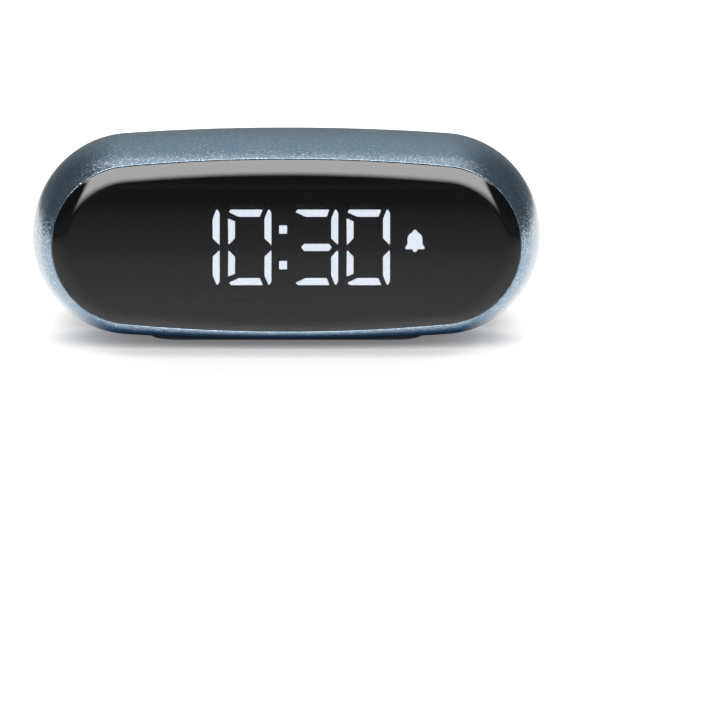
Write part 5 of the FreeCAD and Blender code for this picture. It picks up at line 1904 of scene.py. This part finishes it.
@dataclass(frozen=True)
class Room:
    """Dim room, a little brighter near the floor and paler in a strip of wall behind the clock."""

    tone: str = "#DFF3FF"
    light: Slope = Slope(0.0, 0.32, 0.11, 0.04)
    strip: Slope = Slope(0.42, 0.04)
    behind: Slope = Slope(0.1, 0.5)
    wall: Slope = Slope(0.0, 0.7, 0.08, 0.4)

    def build(self) -> None:
        """Makes the world; each slope goes by the part of a direction along one axis."""
        world = bpy.data.worlds.new("studio")
        world.use_nodes = True
        work = NodeWork(world.node_tree)
        way = work.add("ShaderNodeTexCoord").outputs["Generated"]
        part = work.add(SPLIT, (way,)).outputs
        aside = work.add(MATH, (part["X"],), operation="ABSOLUTE")
        strip = work.overlap((aside, self.strip), (part["Y"], self.behind))
        wall = work.add(RANGE, self.wall.of(part["Z"]))
        light = work.overlap((part["Z"], self.light))
        level = work.add(MATH, (strip, wall, light), operation="MULTIPLY_ADD")
        sky = work.add("ShaderNodeBackground", (colour(self.tone), level))
        work.add("ShaderNodeOutputWorld", (sky,))
        bpy.context.scene.world = world


@dataclass(frozen=True)
class Studio:
    """Camera, paper floor, dim room, two softboxes and a lamp behind the clock."""

    focal: float = 381.94
    sensor: float = 36.0
    shift: Flat = (0.1022, -0.1763)
    clip: Flat = (0.05, 20.0)
    distance: float = 1.3
    elevation: float = 8.04
    softboxes: tuple[Softbox, ...] = (
        Softbox("front_softbox", azimuth=0.0, elevation=34.0, distance=2.5, width=3.0,
                height=3.3, radiance=4.2, side_fade=0.34, low_fade=1.35, high_fade=0.1,
                flare=0.42, rest=0.06),
        Softbox("rear_softbox", azimuth=180.0, elevation=74.0, distance=2.2, width=2.4,
                height=2.2, radiance=0.85, side_fade=0.6, low_fade=1.1, high_fade=0.3,
                flare=0.0, rest=0.36),
    )
    lamp_elevation: float = 42.0
    lamp_distance: float = 1.8
    lamp_size: float = 0.9
    lamp_power: float = 14.0

    def camera(self) -> None:
        """Sets the camera."""
        data = bpy.data.cameras.new("camera")
        data.lens, data.sensor_width = self.focal, self.sensor
        data.shift_x, data.shift_y = self.shift
        data.clip_start, data.clip_end = self.clip
        camera = new_object("camera", data)
        aim(camera, 0.0, self.elevation, self.distance)
        bpy.context.scene.camera = camera

    def rear_lamp(self) -> None:
        """Sets a lamp behind the clock that lights its back without a glint in the lacquer."""
        light = bpy.data.lights.new("rear_lamp", "AREA")
        light.size, light.energy = self.lamp_size, self.lamp_power
        lamp = new_object("rear_lamp", light)
        aim(lamp, 180.0, self.lamp_elevation, self.lamp_distance)
        lamp.visible_glossy = False

    def build(self) -> None:
        """Sets up the studio."""
        self.camera()
        Floor().build()
        Room().build()
        for softbox in self.softboxes:
            softbox.build()
        self.rear_lamp()
        bpy.context.scene.view_settings.view_transform = "Standard"


def main() -> None:
    """Builds the finishes, the studio and the clock's pieces in order."""
    logging.basicConfig(level=logging.INFO, format="%(message)s")
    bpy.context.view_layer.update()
    finishes = Finishes()
    Studio().build()
    for part in (Case, Lens, Display, Foot, RearPanel, Marks, Keys, SlideKnob, Port, SoundMesh,
                 KeptNodes):
        part(finishes).build()


if __name__ == "__main__":
    main()
